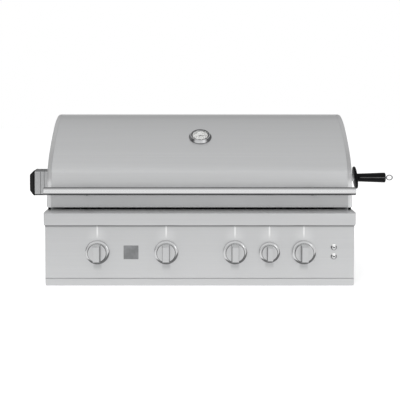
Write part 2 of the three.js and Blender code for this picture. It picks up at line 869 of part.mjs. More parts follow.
function gaugeCase() {
  return uprightTurned([
    [0, -gaugeStemLength], [gaugeStemRadius, -gaugeStemLength], [gaugeStemRadius, seat], [gaugeRadius, seat],
    [gaugeRadius, gaugeEdgeHeight], [gaugeShoulderRadius, gaugeShoulderHeight],
    [gaugeFaceRadius + sheet, gaugeRimHeight], [gaugeFaceRadius, gaugeRimHeight - sheet / 2],
    [gaugeFaceRadius, gaugeFloor], [0, gaugeFloor],
  ]);
}

function gaugeDisc(radius, from, thickness) {
  return round('z', radius, [from, from + thickness], [0, 0], roundSides);
}

function gaugeNeedle() {
  const base = gaugeFloor + seat + dialThickness + seat;
  const hub = round('z', needleHub, [base, base + needleThickness], [0, 0], smallSides);
  const arm = block(
    [-needleLength * needleTailShare, needleLength], spread(needleWidth / 2), [base, base + needleThickness]);
  return join(hub, arm);
}

// Rotisserie

function motorCase() {
  const right = -(bracketOuter + seat);
  const left = right - motorWidth;
  const bottom = ledgeHeight + motorBottom;
  const body = block([left, right], [motorFrontY, motorFrontY + motorDepth], [bottom, bottom + motorHeight]);
  const gland = round(
    'y', cordGlandRadius, [motorFrontY + motorDepth - sheet, motorFrontY + motorDepth + cordGlandLength],
    [(left + right) / 2, bottom + cordGlandRadius + cordGlandRadius], smallSides);
  const socket = hole(
    'x', motorSocketRadius, [right - motorSocketDepth, right + overrun], [spitY, spitZ], smallSides);
  return cut(join(body, gland), socket);
}

function motorCover() {
  const right = -(bracketOuter + seat) - motorWidth - seat;
  const bottom = ledgeHeight + motorBottom;
  const outline = [
    point(motorFrontY, bottom), point(motorFrontY + motorDepth, bottom),
    point(motorFrontY + motorDepth, bottom + motorHeight), point(motorFrontY, bottom + motorHeight)];
  const rim = motorCoverDepth - motorCoverBevel;
  const cap = alongX(outline, [right - rim, right], {
    bevelEnabled: true, bevelThickness: motorCoverBevel, bevelSize: motorCoverBevel,
    bevelOffset: -motorCoverBevel, bevelSegments: 1,
  });
  const trim = block(
    [right, right + motorCoverBevel + overrun], [motorFrontY - overrun, motorFrontY + motorDepth + overrun],
    [bottom - overrun, bottom + motorHeight + overrun]);
  const plug = block(
    [right - rim, right], [motorFrontY, motorFrontY + motorDepth], [bottom, bottom + motorHeight]);
  return join(cut(cap, trim), plug);
}

// An angle bracket on the hanging flange, just outside the hood
function sideBracket(side, top) {
  const depth = [spitY - bracketWidth / 2, spitY + bracketWidth / 2];
  const base = ledgeHeight + seat;
  const upright = block(
    side < 0 ? [-bracketOuter, -bracketInner] : [bracketInner, bracketOuter], depth, [base, top]);
  const foot = block(
    side < 0 ? [-bracketOuter, bracketFoot - bracketOuter] : [bracketOuter - bracketFoot, bracketOuter],
    depth, [base, base + bracketPlate]);
  return join(upright, foot);
}

function motorBracket() {
  return cut(
    sideBracket(-1, ledgeHeight + motorBottom + motorHeight),
    hole(
      'x', motorSocketRadius + sheet, [-bracketOuter - overrun, -bracketInner + overrun],
      [spitY, spitZ], roundSides));
}

function spitBracket() {
  const notch = bushGrooveRadius + seat;
  const span = [bracketInner - overrun, bracketOuter + overrun];
  return cut(
    sideBracket(1, spitZ + bracketShoulder),
    hole('x', notch, span, [spitY, spitZ], roundSides),
    block(span, [spitY - notch, spitY + notch], [spitZ, spitZ + bracketShoulder + overrun]));
}

function squareBar(side, [from, to]) {
  return block([from, to], [spitY - side / 2, spitY + side / 2], [spitZ - side / 2, spitZ + side / 2]);
}

const spitBore = spitBar + seat + seat;

function turnedOnSpit(profile, sides = roundSides) {
  return turned(profile.map(([x, r]) => [r, x]), sides).rotateZ(-Math.PI / 2).translate(0, spitY, spitZ);
}

function spitBush() {
  const start = bracketInner - seat - bushFlange;
  const body = turnedOnSpit([
    [start, 0], [start, bushFlangeRadius], [bracketInner - seat, bushFlangeRadius],
    [bracketInner - seat, bushGrooveRadius], [bracketOuter + seat, bushGrooveRadius],
    [bracketOuter + seat, bushRadius], [bushEnd, bushRadius], [bushEnd, 0],
  ], smallSides);
  return cut(body, squareBar(spitBore, [start - overrun, bushEnd + overrun]));
}

function spitGuard() {
  const tilt = THREE.MathUtils.degToRad(guardTiltDegrees);
  const reach = gripStartRadius * Math.sin(tilt) + (guardThickness / 2) / Math.cos(tilt);
  const disc = cut(
    round('x', guardRadius, spread(guardThickness / 2), [0, 0], roundSides),
    hole('x', guardHoleRadius, spread(guardThickness), [0, 0], smallSides));
  return disc.rotateY(-tilt).translate(gripStart - seat - reach, spitY, spitZ);
}

function spitHandle() {
  const body = turnedOnSpit([
    [gripStart, 0], [gripStart, gripStartRadius - gripRound / 2], [gripStart + gripRound, gripStartRadius],
    [gripEnd - gripRound, gripEndRadius], [gripEnd, gripEndRadius - gripRound], [gripEnd, 0],
  ]);
  const loopHole = hole(
    'x', loopWire + seat, [gripEnd - loopStem - seat, gripEnd + overrun], [spitY, spitZ], smallSides);
  return cut(body, squareBar(spitBore, [gripStart - overrun, spitRight + seat]), loopHole);
}

function hangingLoop() {
  const centre = gripEnd + loopWire + loopRadius + seat;
  const ring = new THREE.TorusGeometry(loopRadius, loopWire, rodSides, loopSteps).rotateX(Math.PI / 2);
  const stem = round('x', loopWire, [gripEnd - loopStem, centre - loopRadius], [0, 0], rodSides);
  return join(ring.translate(centre, 0, 0), stem).translate(0, spitY, spitZ);
}

// Four tines on crossed bars, with a thumb screw in the hub
function meatFork(side) {
  const inward = -side;
  const near = side * forkOffset;
  const run = (length) => (inward > 0 ? [near, near + length] : [near - length, near]);
  const hub = round('x', forkHubRadius, run(forkHubLength), [0, 0], smallSides);
  const cross = forkSpread + forkBarWidth / 2;
  const bars = [
    block(run(forkBarThickness), spread(cross), spread(forkBarWidth / 2)),
    block(run(forkBarThickness), spread(forkBarWidth / 2), spread(cross)),
  ];
  const tines = [[forkSpread, 0], [-forkSpread, 0], [0, forkSpread], [0, -forkSpread]].map((place) => round(
    'x', inward > 0 ? forkTineRadius : forkTipRadius, run(forkTineLength), place, rodSides,
    inward > 0 ? forkTipRadius : forkTineRadius));
  const screwX = near + inward * (forkHubLength + forkBarThickness) / 2;
  const screw = round(
    'z', forkScrewRadius, [spitBore / 2, forkHubRadius + forkScrewLength], [screwX, 0], smallSides);
  const whole = join(hub, ...bars, ...tines, screw).translate(0, spitY, spitZ);
  return cut(whole, squareBar(spitBore, run(forkTineLength)));
}

// Assembly

add('firebox_body', fireboxBody(), plainSteel);
add('firebox_front_wall', fireboxFrontWall(), plainSteel);
add('firebox_rear_wall', fireboxRearWall(), plainSteel);
add('front_ledge', frontLedge(), brushedSteel);
add('control_panel', controlPanel(), brushedSteel);
add('grease_tray', greaseTray(), brushedSteel);
add('light_rail', lightRail(), lampLens);
add('switch_block', switchBlock(), polishedSteel);
add('gas_manifold', gasManifold(), brass);

switchPlaces().forEach((z, i) => {
  const button = add(['switch_button_upper', 'switch_button_lower'][i], switchButton(), polishedSteel);
  button.position.set(switchX, panelSetback - seat - switchReach - buttonStandout, z);
});

knobPlaces.forEach((x, i) => {
  const station = new THREE.Group();
  station.position.set(x, panelSetback, knobHeight);
  grill.add(station);
  add(`knob_bezel_${stationNames[i]}`, knobBezel(bezelRadii[i]), polishedSteel, station);
  add(`valve_stem_${stationNames[i]}`, valveStem(), brass, station);
  add(`knob_${stationNames[i]}`, knob(knobRadii[i], gripWidths[i]), brushedSteel, station);
});

burnerPlaces.forEach((x, i) => {
  add(`burner_${i + 1}`, burner(), plainSteel).position.set(x, 0, knobHeight);
});
tamerPlaces.forEach((x, i) => {
  add(`flame_tamer_${i + 1}`, flameTamer(), plainSteel).position.x = x;
  add(`cooking_grate_${i + 1}`, cookingGrate(), plainSteel).position.x = x;
});
add('rear_burner_housing', rearBurnerHousing(), plainSteel);
add('rear_burner_tile', rearBurnerTile(), ceramic);

add('hood_skin', hoodSkin(), brushedSteel);
add('hood_liner', hoodLiner(), plainSteel);
add('hood_end_right', hoodEnd(), brushedSteel);
add('hood_end_left', hoodEnd(), brushedSteel).scale.x = -1;
add('hood_handle', hoodHandle(), polishedSteel);

add('thermometer_case', setOnHood(gaugeCase()), polishedSteel);
const gaugeDial = gaugeDisc(gaugeFaceRadius - seat, gaugeFloor + seat, dialThickness);
add('thermometer_dial', setOnHood(gaugeDial), whiteEnamel);
add('thermometer_needle', setOnHood(gaugeNeedle()), darkPaint);
const gaugeLens = gaugeDisc(gaugeFaceRadius - seat, lensHeight, lensThickness);
add('thermometer_lens', setOnHood(gaugeLens), clearGlass);

add('motor_case', motorCase(), brushedSteel);
add('motor_cover', motorCover(), blackPlastic);
add('motor_bracket', motorBracket(), plainSteel);
add('spit_bracket', spitBracket(), plainSteel);
add('spit_rod', squareBar(spitBar, [-spitLeft, spitRight]), plainSteel);
add('spit_bush', spitBush(), polishedSteel);
add('spit_guard', spitGuard(), blackPlastic);
add('spit_handle', spitHandle(), blackPlastic);
add('spit_loop', hangingLoop(), polishedSteel);
add('meat_fork_left', meatFork(-1), plainSteel);
add('meat_fork_right', meatFork(1), plainSteel);

const part = new THREE.Group();
part.add(grill);

export default part;
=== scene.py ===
import json
from functools import partial
from math import cos, pi, radians, sin

import bmesh
import bpy
from bmesh import ops
from mathutils import Matrix, Vector


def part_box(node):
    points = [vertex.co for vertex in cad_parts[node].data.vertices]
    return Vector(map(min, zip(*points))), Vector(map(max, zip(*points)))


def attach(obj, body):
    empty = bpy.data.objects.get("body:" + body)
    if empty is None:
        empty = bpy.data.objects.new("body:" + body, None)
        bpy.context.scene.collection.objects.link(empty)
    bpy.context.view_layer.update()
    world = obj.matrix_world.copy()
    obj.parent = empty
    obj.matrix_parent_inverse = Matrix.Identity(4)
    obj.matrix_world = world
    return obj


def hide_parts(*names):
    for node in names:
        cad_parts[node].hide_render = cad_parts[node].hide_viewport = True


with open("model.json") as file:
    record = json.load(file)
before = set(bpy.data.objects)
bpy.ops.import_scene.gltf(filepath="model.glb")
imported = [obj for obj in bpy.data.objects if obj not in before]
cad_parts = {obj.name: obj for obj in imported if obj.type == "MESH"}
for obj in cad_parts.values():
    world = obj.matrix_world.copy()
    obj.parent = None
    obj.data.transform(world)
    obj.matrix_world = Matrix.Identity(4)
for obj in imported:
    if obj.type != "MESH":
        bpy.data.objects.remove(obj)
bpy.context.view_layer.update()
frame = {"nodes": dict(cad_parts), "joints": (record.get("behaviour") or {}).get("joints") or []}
print("frame loaded")

# Places that many pieces share, taken from the frame. x runs to the right, y to the rear, z up
bandHeight = 0.041
bandLow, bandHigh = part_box("front_ledge")
frontY = bandLow.y  # the band's front plane
ledgeTop = bandLow.z + bandHeight
panelLow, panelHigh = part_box("control_panel")
panelFace = panelLow.y
trayLow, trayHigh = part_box("grease_tray")
knobNames = ["1", "2", "3", "4", "rear"]
sheet = 0.0015  # gauge of the outer sheets
seat = 0.0003  # gap between a piece and what it sits on


class Values(dict):
    # A piece's numbers: hood.rimWidth is hood["rimWidth"]
    __getattr__ = dict.__getitem__


def span(node):
    # A CAD node's box: low corner, high corner and middle
    low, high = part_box(node)
    return low, high, (low + high) / 2


def jointOf(name):
    return next(j for j in frame["joints"] if j["name"] == name)


def setAll(thing, **settings):
    for key, value in settings.items():
        setattr(thing, key, value)
    return thing


def placed(name, data):
    thing = bpy.data.objects.new(name, data)
    bpy.context.scene.collection.objects.link(thing)
    return thing


# Camera

camera = Values(
    place=(-0.012, -3.516, 0.6843), pitch=87.0, lens=92.75, sensor=36,
    shift=(0.0104, -0.195), far=40,
)


def makeCamera():
    data = bpy.data.cameras.new("photoCamera")
    setAll(data, lens=camera.lens, sensor_width=camera.sensor, clip_end=camera.far)
    data.shift_x, data.shift_y = camera.shift
    eye = placed("photoCamera", data)
    eye.location = camera.place
    eye.rotation_euler = (radians(camera.pitch), 0, 0)
    bpy.context.scene.camera = eye


makeCamera()


# Shader tools

def isSocket(value):
    return isinstance(value, bpy.types.NodeSocket)


def feed(sockets, values):
    # A node's output is linked to its socket, any other value is set in it
    for title, value in values.items():
        if isSocket(value):
            value.id_data.links.new(value, sockets[title])
        else:
            sockets[title].default_value = value


def addNode(tree, kind, values=None, **settings):
    node = setAll(tree.nodes.new(f"ShaderNode{kind}"), **settings)
    feed(node.inputs, values or {})
    return node


def addMath(operation, *values, clamp=False):
    tree = next(v.id_data for v in values if isSocket(v))
    return addNode(tree, "Math", dict(enumerate(values)), operation=operation, use_clamp=clamp).outputs[0]


plus, minus, times, over = (partial(addMath, name) for name in ("ADD", "SUBTRACT", "MULTIPLY", "DIVIDE"))


def rangeOf(value, fromLow, fromHigh, toLow, toHigh, kind="SMOOTHSTEP"):
    ends = {"From Min": fromLow, "From Max": fromHigh, "To Min": toLow, "To Max": toHigh}
    node = addNode(value.id_data, "MapRange", {"Value": value, **ends}, interpolation_type=kind)
    return node.outputs["Result"]


def mixTones(amount, *tones):
    first, second = (t if isSocket(t) else (*t, 1) for t in tones)
    node = addNode(amount.id_data, "Mix", {"Factor": amount, "A": first, "B": second}, data_type="RGBA")
    return node.outputs["Result"]


def objectPlace(tree):
    return addNode(tree, "TexCoord").outputs["Object"]


def split(vector):
    return addNode(vector.id_data, "SeparateXYZ", {0: vector}).outputs


def normalOf(tree):
    return addNode(tree, "NewGeometry").outputs["Normal"]


# Shader groups: each effect is built once and placed in the materials with its own values

def startGroup(name, inputs, outputs):
    tree = bpy.data.node_groups.new(name, "ShaderNodeTree")
    for title, value in inputs.items():
        kind = "NodeSocketFloat" if isinstance(value, float) else "NodeSocketVector"
        socket = tree.interface.new_socket(name=title, in_out="INPUT", socket_type=kind)
        socket.default_value = value
    for title in outputs:
        tree.interface.new_socket(name=title, in_out="OUTPUT", socket_type="NodeSocketFloat")
    return tree, tree.nodes.new("NodeGroupInput").outputs, tree.nodes.new("NodeGroupOutput").inputs


def makeBrushMarks():
    # Fine parallel scratches: noise drawn out along the grain, in two widths
    tree, into, out = startGroup(
        "brushMarks", {"Grain": (5, 900, 900), "Contrast": 1.0}, ["Marks", "Height"])
    stretch = {0: objectPlace(tree), 1: into["Grain"]}
    vector = addNode(tree, "VectorMath", stretch, operation="MULTIPLY").outputs[0]
    layers = []
    for scale in (1.0, 0.31):
        noise = addNode(tree, "TexNoise", {"Scale": scale, "Detail": 2, "Vector": vector})
        layers.append(noise.outputs["Fac"])
    mixed = times(plus(*layers), 0.5)
    scaled = times(minus(mixed, 0.5), into["Contrast"])
    feed(out, {"Marks": plus(scaled, 0.5, clamp=True), "Height": layers[0]})
    return tree


def makeHandMarks():
    # Faint cloudy areas, where a cloth or a hand has been
    tree, into, out = startGroup("handMarks", {"Size": 0.12}, ["Cloud"])
    scale = over(1.0, into["Size"])
    noise = addNode(
        tree, "TexNoise", {"Scale": scale, "Detail": 3, "Vector": objectPlace(tree)})
    feed(out, {"Cloud": rangeOf(noise.outputs["Fac"], 0.3, 0.7, 0, 1)})
    return tree


def makeMouldGrain():
    # The pebbled skin of moulded plastic, or the pores of fired clay
    tree, into, out = startGroup("mouldGrain", {"Pebble": 0.0006}, ["Height", "Pits"])
    cells = {"Vector": objectPlace(tree), "Scale": over(1.0, into["Pebble"])}
    height = addNode(tree, "TexVoronoi", cells, feature="F1").outputs["Distance"]
    feed(out, {"Height": height, "Pits": rangeOf(height, 0.1, 0.5, 1, 0)})
    return tree


def makeLampPool():
    # Masks for the painted light of one lamp under the band: the streak and the halo it would throw down the
    # panel
    tree, into, out = startGroup(
        "lampPool",
        {"Across": 0.0, "Top": 0.19, "Length": 0.036, "Width": 0.003, "Halo": 0.04, "Start": 0.004,
         "Lower": 0.02},
        ["Streak", "Glow"])
    where = split(objectPlace(tree))
    aside = addMath("ABSOLUTE", minus(where["X"], into["Across"]))
    down = minus(into["Top"], where["Z"])
    core = rangeOf(over(aside, into["Width"]), 0.45, 1.0, 1, 0)
    fade = rangeOf(over(down, into["Length"]), 0.55, 1.1, 1, 0)
    rise = rangeOf(over(down, into["Start"]), 0.6, 1.4, 0, 1)
    streak = times(core, times(fade, rise))
    lower = minus(down, into["Lower"])
    square = plus(addMath("POWER", aside, 2), addMath("POWER", lower, 2))
    spread = over(addMath("SQRT", square), into["Halo"])
    feed(out, {"Streak": streak, "Glow": rangeOf(spread, 0.0, 1.0, 1, 0)})
    return tree


groups = {
    "brush": makeBrushMarks(), "hand": makeHandMarks(), "mould": makeMouldGrain(), "pool": makeLampPool(),
}
print("shader groups ready")


# Materials

# Painted shade darkens the metals and the panel towards this near black; the needle's own black paint uses it
# too
shadeAndNeedleBlack = (0.02, 0.02, 0.022)  # what a mask darkens towards


def startLook(name):
    look = bpy.data.materials.new(name)
    look.use_nodes = True
    tree = look.node_tree
    return look, tree, next(n for n in tree.nodes if n.type == "BSDF_PRINCIPLED")


def placeGroup(tree, which, **values):
    return addNode(tree, "Group", values, node_tree=groups[which]).outputs


def shade(colour, factor):
    return tuple(min(1.0, c * factor) for c in colour)


def grey(level, step=0.005):
    # A grey that is slightly blue, as steel is
    return (level, level + step, level + 2 * step)


def addBump(shader, height, strength, distance):
    values = {"Strength": strength, "Distance": distance, "Height": height}
    bump = addNode(height.id_data, "Bump", values)
    feed(shader.inputs, {"Normal": bump.outputs["Normal"]})


def metalLook(name, values):
    look, tree, shader = startLook(name)
    brush = placeGroup(tree, "brush", Grain=values.grain, Contrast=values.contrast)
    hand = placeGroup(tree, "hand", Size=values.cloud)
    colour, spread = values.colour, values.spread
    tone = mixTones(brush["Marks"], shade(colour, 0.95), shade(colour, 1.05))
    fine = times(brush["Marks"], spread)
    cloudy = times(hand["Cloud"], spread * 0.5)
    rough = plus(plus(fine, cloudy), values.roughness)
    masks = []
    # painted shade: darker where the surface turns away from the view
    if values.get("edge"):
        start, full, amount = values.edge
        rim = addNode(tree, "LayerWeight").outputs["Facing"]
        masks.append(rangeOf(rim, start, full, 0, amount))
    # painted shade: darker where the normal faces each given direction
    for towards, start, full, amount in values.get("shades", ()):
        pair = {0: normalOf(tree), 1: towards}
        facing = addNode(tree, "VectorMath", pair, operation="DOT_PRODUCT").outputs["Value"]
        masks.append(rangeOf(facing, start, full, 0, amount))
    # painted shade: darker over a band of height in the piece's own space
    if values.get("height"):
        start, full, amount = values.height
        masks.append(rangeOf(split(objectPlace(tree))["Z"], start, full, 0, amount))
    for mask in masks:
        tone = mixTones(mask, tone, shadeAndNeedleBlack)
    if values.get("lamps"):
        tone = lampLight(tree, shader, tone, values.lamps)
    if values.get("glint"):
        # painted highlight: an emission glow on what faces up
        start, full, strength = values.glint
        lit = rangeOf(split(normalOf(tree))["Z"], start, full, 0, 1)
        light = mixTones(lit, (0, 0, 0), (1, 1, 0.98))
        feed(shader.inputs, {"Emission Color": light, "Emission Strength": strength})
    feed(shader.inputs, {
        "Base Color": tone, "Roughness": rough, "Metallic": values.metallic, "Specular IOR Level": 0.3})
    addBump(shader, brush["Height"], values.bump, 0.0001)
    return look


def lampLight(tree, shader, tone, lamps):
    # Painted lamp light and shade on the panel: each lamp's streak and glow as emission, and below each knob a
    # painted shade in place of the grip's soft reflection
    where = split(objectPlace(tree))
    light = 0.0
    for which in knobNames:
        low, _, centre = span(f"knob_{which}")
        pool = placeGroup(tree, "pool", Across=centre.x, Top=panelHigh.z, **lamps.pool)
        bright = times(pool["Streak"], lamps.streak)
        soft = times(pool["Glow"], lamps.glow)
        light = plus(light, plus(bright, soft))
        aside = addMath("ABSOLUTE", minus(where["X"], centre.x))
        across = rangeOf(aside, *lamps.belowWidth, 1, 0)
        down = minus(low.z, where["Z"])
        fade = rangeOf(down, *lamps.belowHeight, lamps.belowShade, 0)
        started = rangeOf(down, *lamps.belowStart, 0, 1)
        mask = times(times(across, fade), started)
        tone = mixTones(mask, tone, shadeAndNeedleBlack)
    colour = mixTones(light, (0, 0, 0), (1, 0.99, 0.97))
    feed(shader.inputs, {"Emission Color": colour, "Emission Strength": lamps.strength})
    return tone


# Metals. shades lists a direction, the cosines where a shade starts and is full, and its depth
# edge and height add painted shade as well, glint adds a painted highlight, and lamps adds painted lamp light
up, down, right, left, ahead = (0, 0, 1), (0, 0, -1), (1, 0, 0), (-1, 0, 0), (0, -1, 0)
lowRight = (0.3, 0, -0.95)
steel = Values(
    colour=grey(0.60), metallic=0.8, roughness=0.28, spread=0.08, cloud=0.14,
    grain=(4, 700, 700), contrast=1.2, bump=0.10,
)
polished = Values(
    colour=grey(0.66), metallic=1.0, roughness=0.10, spread=0.05, cloud=0.05,
    grain=(6, 900, 900), contrast=0.8, bump=0.04, edge=(0.3, 0.75, 0.75),
)
# satin: painted shade on its lower right and on both sides, in place of dark reflections
satin = Values(
    colour=grey(0.58), metallic=0.85, roughness=0.24, spread=0.08, cloud=0.04,
    grain=(900, 900, 900), contrast=0.6, bump=0.04,
    shades=[(lowRight, 0.15, 0.50, 0.85), (right, 0.3, 0.7, 0.55), (left, 0.3, 0.7, 0.55)],
)
mill = Values(
    colour=grey(0.50), metallic=0.9, roughness=0.36, spread=0.10, cloud=0.20,
    grain=(60, 60, 60), contrast=0.8, bump=0.05,
)
# numbers for the painted lamp light on the panel and the painted shade below each knob
lampPools = Values(
    streak=0.42, glow=0.13, strength=0.55,
    pool=dict(Length=0.040, Width=0.0034, Halo=0.042, Start=0.004, Lower=0.034),
    belowWidth=(0.00884, 0.01612), belowHeight=(0.012, 0.030), belowStart=(-0.006, 0.0),
    belowShade=0.20,
)
metals = {
    "brushedSteel": steel,
    # painted shade on the band's underside, and a painted light on the ledge top
    "bandSteel": Values(steel, colour=grey(0.585), shades=[(down, 0.12, 0.6, 0.55)],
        glint=(0.90, 0.98, 0.045)),
    # painted shadow along the panel's top under the band, with the painted lamp light
    "panelSteel": Values(steel, colour=grey(0.585), height=(panelHigh.z - 0.0065, panelHigh.z - 0.0015, 0.42),
        lamps=lampPools),
    "polishedSteel": polished,
    # painted shade along the handle's top and underside and at grazing angles, in place of dark reflections
    "handleSteel": Values(polished, colour=grey(0.80), cloud=0.10, edge=(0.18, 0.5, 0.75),
        shades=[(up, 0.45, 0.85, 0.45), (down, 0.10, 0.62, 0.80)]),
    "knobSteel": satin,
    # darker copy of the satin steel: painted shade on the sides of the knob grips
    "gripSteel": Values(satin, colour=(0.36, 0.362, 0.365), roughness=0.42, cloud=0.03, contrast=0.8,
        bump=0.08, shades=()),
    # painted shadow on the lower face below the handle, painted shade on the crown, and a painted highlight at
    # its top
    "hoodSteel": Values(steel, height=(0.322, 0.280, 0.20), shades=[(up, 0.74, 1.0, 0.17)],
        glint=(0.980, 0.999, 0.065)),
    # lighter copy of the steel for the hood rims, painted darker above a height and where it faces forward
    "rimSteel": Values(steel, colour=grey(0.80), height=(0.312, 0.337, 0.34),
        shades=[(ahead, 0.50, 0.72, 0.15)]),
    # painted shade on the motor case's top and underside
    "motorSteel": Values(steel, colour=grey(0.47), shades=[(up, 0.35, 0.8, 0.62), (down, 0.1, 0.45, 0.95)]),
    # painted shade on the gauge rim's left and right sides and at grazing angles
    "gaugeSteel": Values(polished, colour=grey(0.64), roughness=0.30, edge=(0.3, 0.75, 0.15),
        shades=[(right, 0.34, 0.58, 0.86), (left, 0.34, 0.58, 0.72)]),
    # lighter copy: painted light on the knob's disc wall and grip ends
    "capSteel": Values(satin, colour=grey(0.70)),
    # darker copy: a painted shade ring at the front edge of each knob disc
    "ringSteel": Values(satin, colour=grey(0.42, 0.003), roughness=0.2, shades=[(lowRight, 0.15, 0.50, 0.85),
        (right, 0.3, 0.7, 0.30), (left, 0.3, 0.7, 0.26)]),
    # darker copy: painted shade in the ring between the gauge rim and the dial, darker still where it faces up
    "gaugeShadeSteel": Values(satin, colour=grey(0.42, 0.003), roughness=0.4, shades=[(up, 0.15, 0.5, 0.72)]),
    # lighter copy: painted shade on the buttons' and bezels' sides and underside, and a painted highlight on
    # top
    "buttonSteel": Values(polished, colour=grey(0.92), roughness=0.22, edge=None,
        shades=[(right, 0.25, 0.6, 0.75), (left, 0.25, 0.6, 0.66), (down, 0.20, 0.6, 0.66)],
        glint=(0.36, 0.70, 0.55)),
    # darker copy of polished steel: painted shade for the spit loop's dark reflections, with grazing shade
    "wireSteel": Values(polished, colour=grey(0.26, 0.003), roughness=0.34, edge=(0.3, 0.75, 0.3)),
    "grateSteel": Values(mill, colour=(0.30, 0.302, 0.305), roughness=0.30, grain=(900, 30, 900)),
    # painted shade: a dark crescent on the lower right of each bezel
    "bezelSteel": Values(colour=grey(0.62), metallic=1.0, roughness=0.14, spread=0.04, cloud=0.05,
        grain=(600, 600, 600), contrast=0.6, bump=0.02, shades=[(lowRight, 0.10, 0.20, 0.80)]),
    "millSteel": mill,
    "brassMetal": Values(mill, colour=(0.62, 0.46, 0.22), metallic=1.0, roughness=0.28, spread=0.08, cloud=0.04,
        grain=(300, 300, 300)),
}
plastics = {  # colour, roughness, pebble size, bump, shine
    "blackPlastic": ((0.004, 0.004, 0.0045), 0.42, 0.0007, 0.25, 0.10),
    "dialEnamel": ((0.62, 0.62, 0.605), 0.35, 0.0005, 0.03, 0.25),
    "printInk": ((0.52, 0.52, 0.52), 0.5, 0.0004, 0.1, 0.25),
    "needlePaint": (shadeAndNeedleBlack, 0.5, 0.0004, 0.1, 0.25),
    # a lighter grey for the painted highlight along the spit grip
    "gripHighlightGrey": ((0.10, 0.10, 0.102), 0.4, 0.0006, 0.1, 0.25),
    # black for black parts, and black fill standing in for shade in ports and seams
    "blackAndShadeFill": ((0.006, 0.006, 0.006), 0.8, 0.0004, 0.1, 0.25),
    "badgeGrey": ((0.23, 0.235, 0.24), 0.4, 0.0006, 0.08, 0.25),
}


def plasticLook(name, colour, roughness, pebble, bump, shine):
    look, tree, shader = startLook(name)
    mould = placeGroup(tree, "mould", Pebble=pebble)
    cloud = placeGroup(tree, "hand", Size=0.03)["Cloud"]
    feed(shader.inputs, {
        "Base Color": mixTones(cloud, shade(colour, 0.85), shade(colour, 1.2)),
        "Roughness": rangeOf(cloud, 0, 1, roughness - 0.04, roughness + 0.06, "LINEAR"),
        "Specular IOR Level": shine,
    })
    addBump(shader, mould["Height"], bump, 0.00008)
    return look


def clayLook(name, colour):
    look, tree, shader = startLook(name)
    mould = placeGroup(tree, "mould", Pebble=0.0022)
    # painted shade: the pits darkened, as shade inside the pores
    tone = mixTones(mould["Pits"], colour, shade(colour, 0.25))
    feed(shader.inputs, {"Base Color": tone, "Roughness": 0.95})
    addBump(shader, mould["Height"], 0.6, 0.0005)
    return look


def glassLook(name):
    look, tree, shader = startLook(name)
    cloud = placeGroup(tree, "hand", Size=0.02)["Cloud"]
    feed(shader.inputs, {
        "Roughness": rangeOf(cloud, 0, 1, 0.02, 0.07, "LINEAR"), "Base Color": (0.97, 0.98, 0.98, 1),
        "Transmission Weight": 1, "Alpha": 0.22, "IOR": 1.45, "Specular IOR Level": 0.12,
    })
    return look


def lampLook(name):
    look, tree, shader = startLook(name)
    cloud = placeGroup(tree, "hand", Size=0.004)["Cloud"]
    tone = mixTones(cloud, (0.9, 0.92, 0.95), (1, 1, 1))
    feed(shader.inputs, {
        "Base Color": tone, "Emission Color": tone, "Emission Strength": 1.2, "Roughness": 0.3})
    return look


looks = {name: metalLook(name, values) for name, values in metals.items()}
for name, values in plastics.items():
    looks[name] = plasticLook(name, *values)
looks["burnerClay"] = clayLook("burnerClay", (0.72, 0.63, 0.52))
looks["dialGlass"] = glassLook("dialGlass")
looks["lampLens"] = lampLook("lampLens")
print("materials ready")


# Shape helpers

def meshOf(name, bm):
    mesh = bpy.data.meshes.new(name)
    bm.to_mesh(mesh)
    bm.free()
    return mesh


def finishPiece(name, bm, look, body, stands=None, sharp=35, wall=0, edge=0, extra=()):
    bm.edges.index_update()
    border = [e.index for e in bm.edges if e.is_boundary]
    mesh = meshOf(name, bm)
    mesh.polygons.foreach_set("use_smooth", [True] * len(mesh.polygons))
    mesh.set_sharp_from_angle(angle=radians(sharp))
    for i in border:
        mesh.edges[i].use_edge_sharp = True
    for material in (look, *extra):
        mesh.materials.append(looks[material])
    piece = placed(name, mesh)
    if wall:
        setAll(piece.modifiers.new("wall", "SOLIDIFY"), thickness=wall, offset=-1)
    if edge:
        setAll(piece.modifiers.new("softEdges", "BEVEL"), width=edge, segments=3, limit_method="ANGLE",
               angle_limit=radians(32), harden_normals=True)
    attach(piece, body)
    if stands:
        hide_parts(stands)
    return piece


def paintFaces(bm, choose):
    # choose gives each face's place in the list of the piece's materials
    bm.normal_update()
    for f in bm.faces:
        f.material_index = choose(f, f.calc_center_median())


def aimed(bm, centre, along):
    # Takes a shape built round z to its centre, with its axis in the given direction
    turn = Vector((0, 0, 1)).rotation_difference(Vector(along)).to_matrix().to_4x4()
    ops.transform(bm, matrix=Matrix.Translation(centre) @ turn, verts=bm.verts)
    return bm


def spinRound(bm, geometry, axis, steps):
    ops.spin(
        bm, geom=geometry, cent=(0, 0, 0), axis=axis, angle=2 * pi, steps=steps, use_merge=True)
    ops.remove_doubles(bm, verts=bm.verts, dist=1e-6)
    ops.recalc_face_normals(bm, faces=bm.faces)


def turned(profile, steps, centre=(0, 0, 0), along=(0, 0, 1)):
    # profile holds (radius, distance along the axis) pairs
    bm = bmesh.new()
    corners = [bm.verts.new((radius, 0, height)) for radius, height in profile]
    line = [bm.edges.new(pair) for pair in zip(corners, corners[1:])]
    spinRound(bm, corners + line, (0, 0, 1), steps)
    return aimed(bm, centre, along)


def inset(radius, height, pairs):
    # Corners of a turned profile, each given by how far it lies inside and below a corner
    return [(radius - inside, height - below) for inside, below in pairs]


def boxOf(low, high):
    bm = bmesh.new()
    ops.create_cube(bm, size=1)
    low, high = Vector(low), Vector(high)
    ops.scale(bm, vec=high - low, verts=bm.verts)
    ops.translate(bm, vec=(low + high) / 2, verts=bm.verts)
    return bm


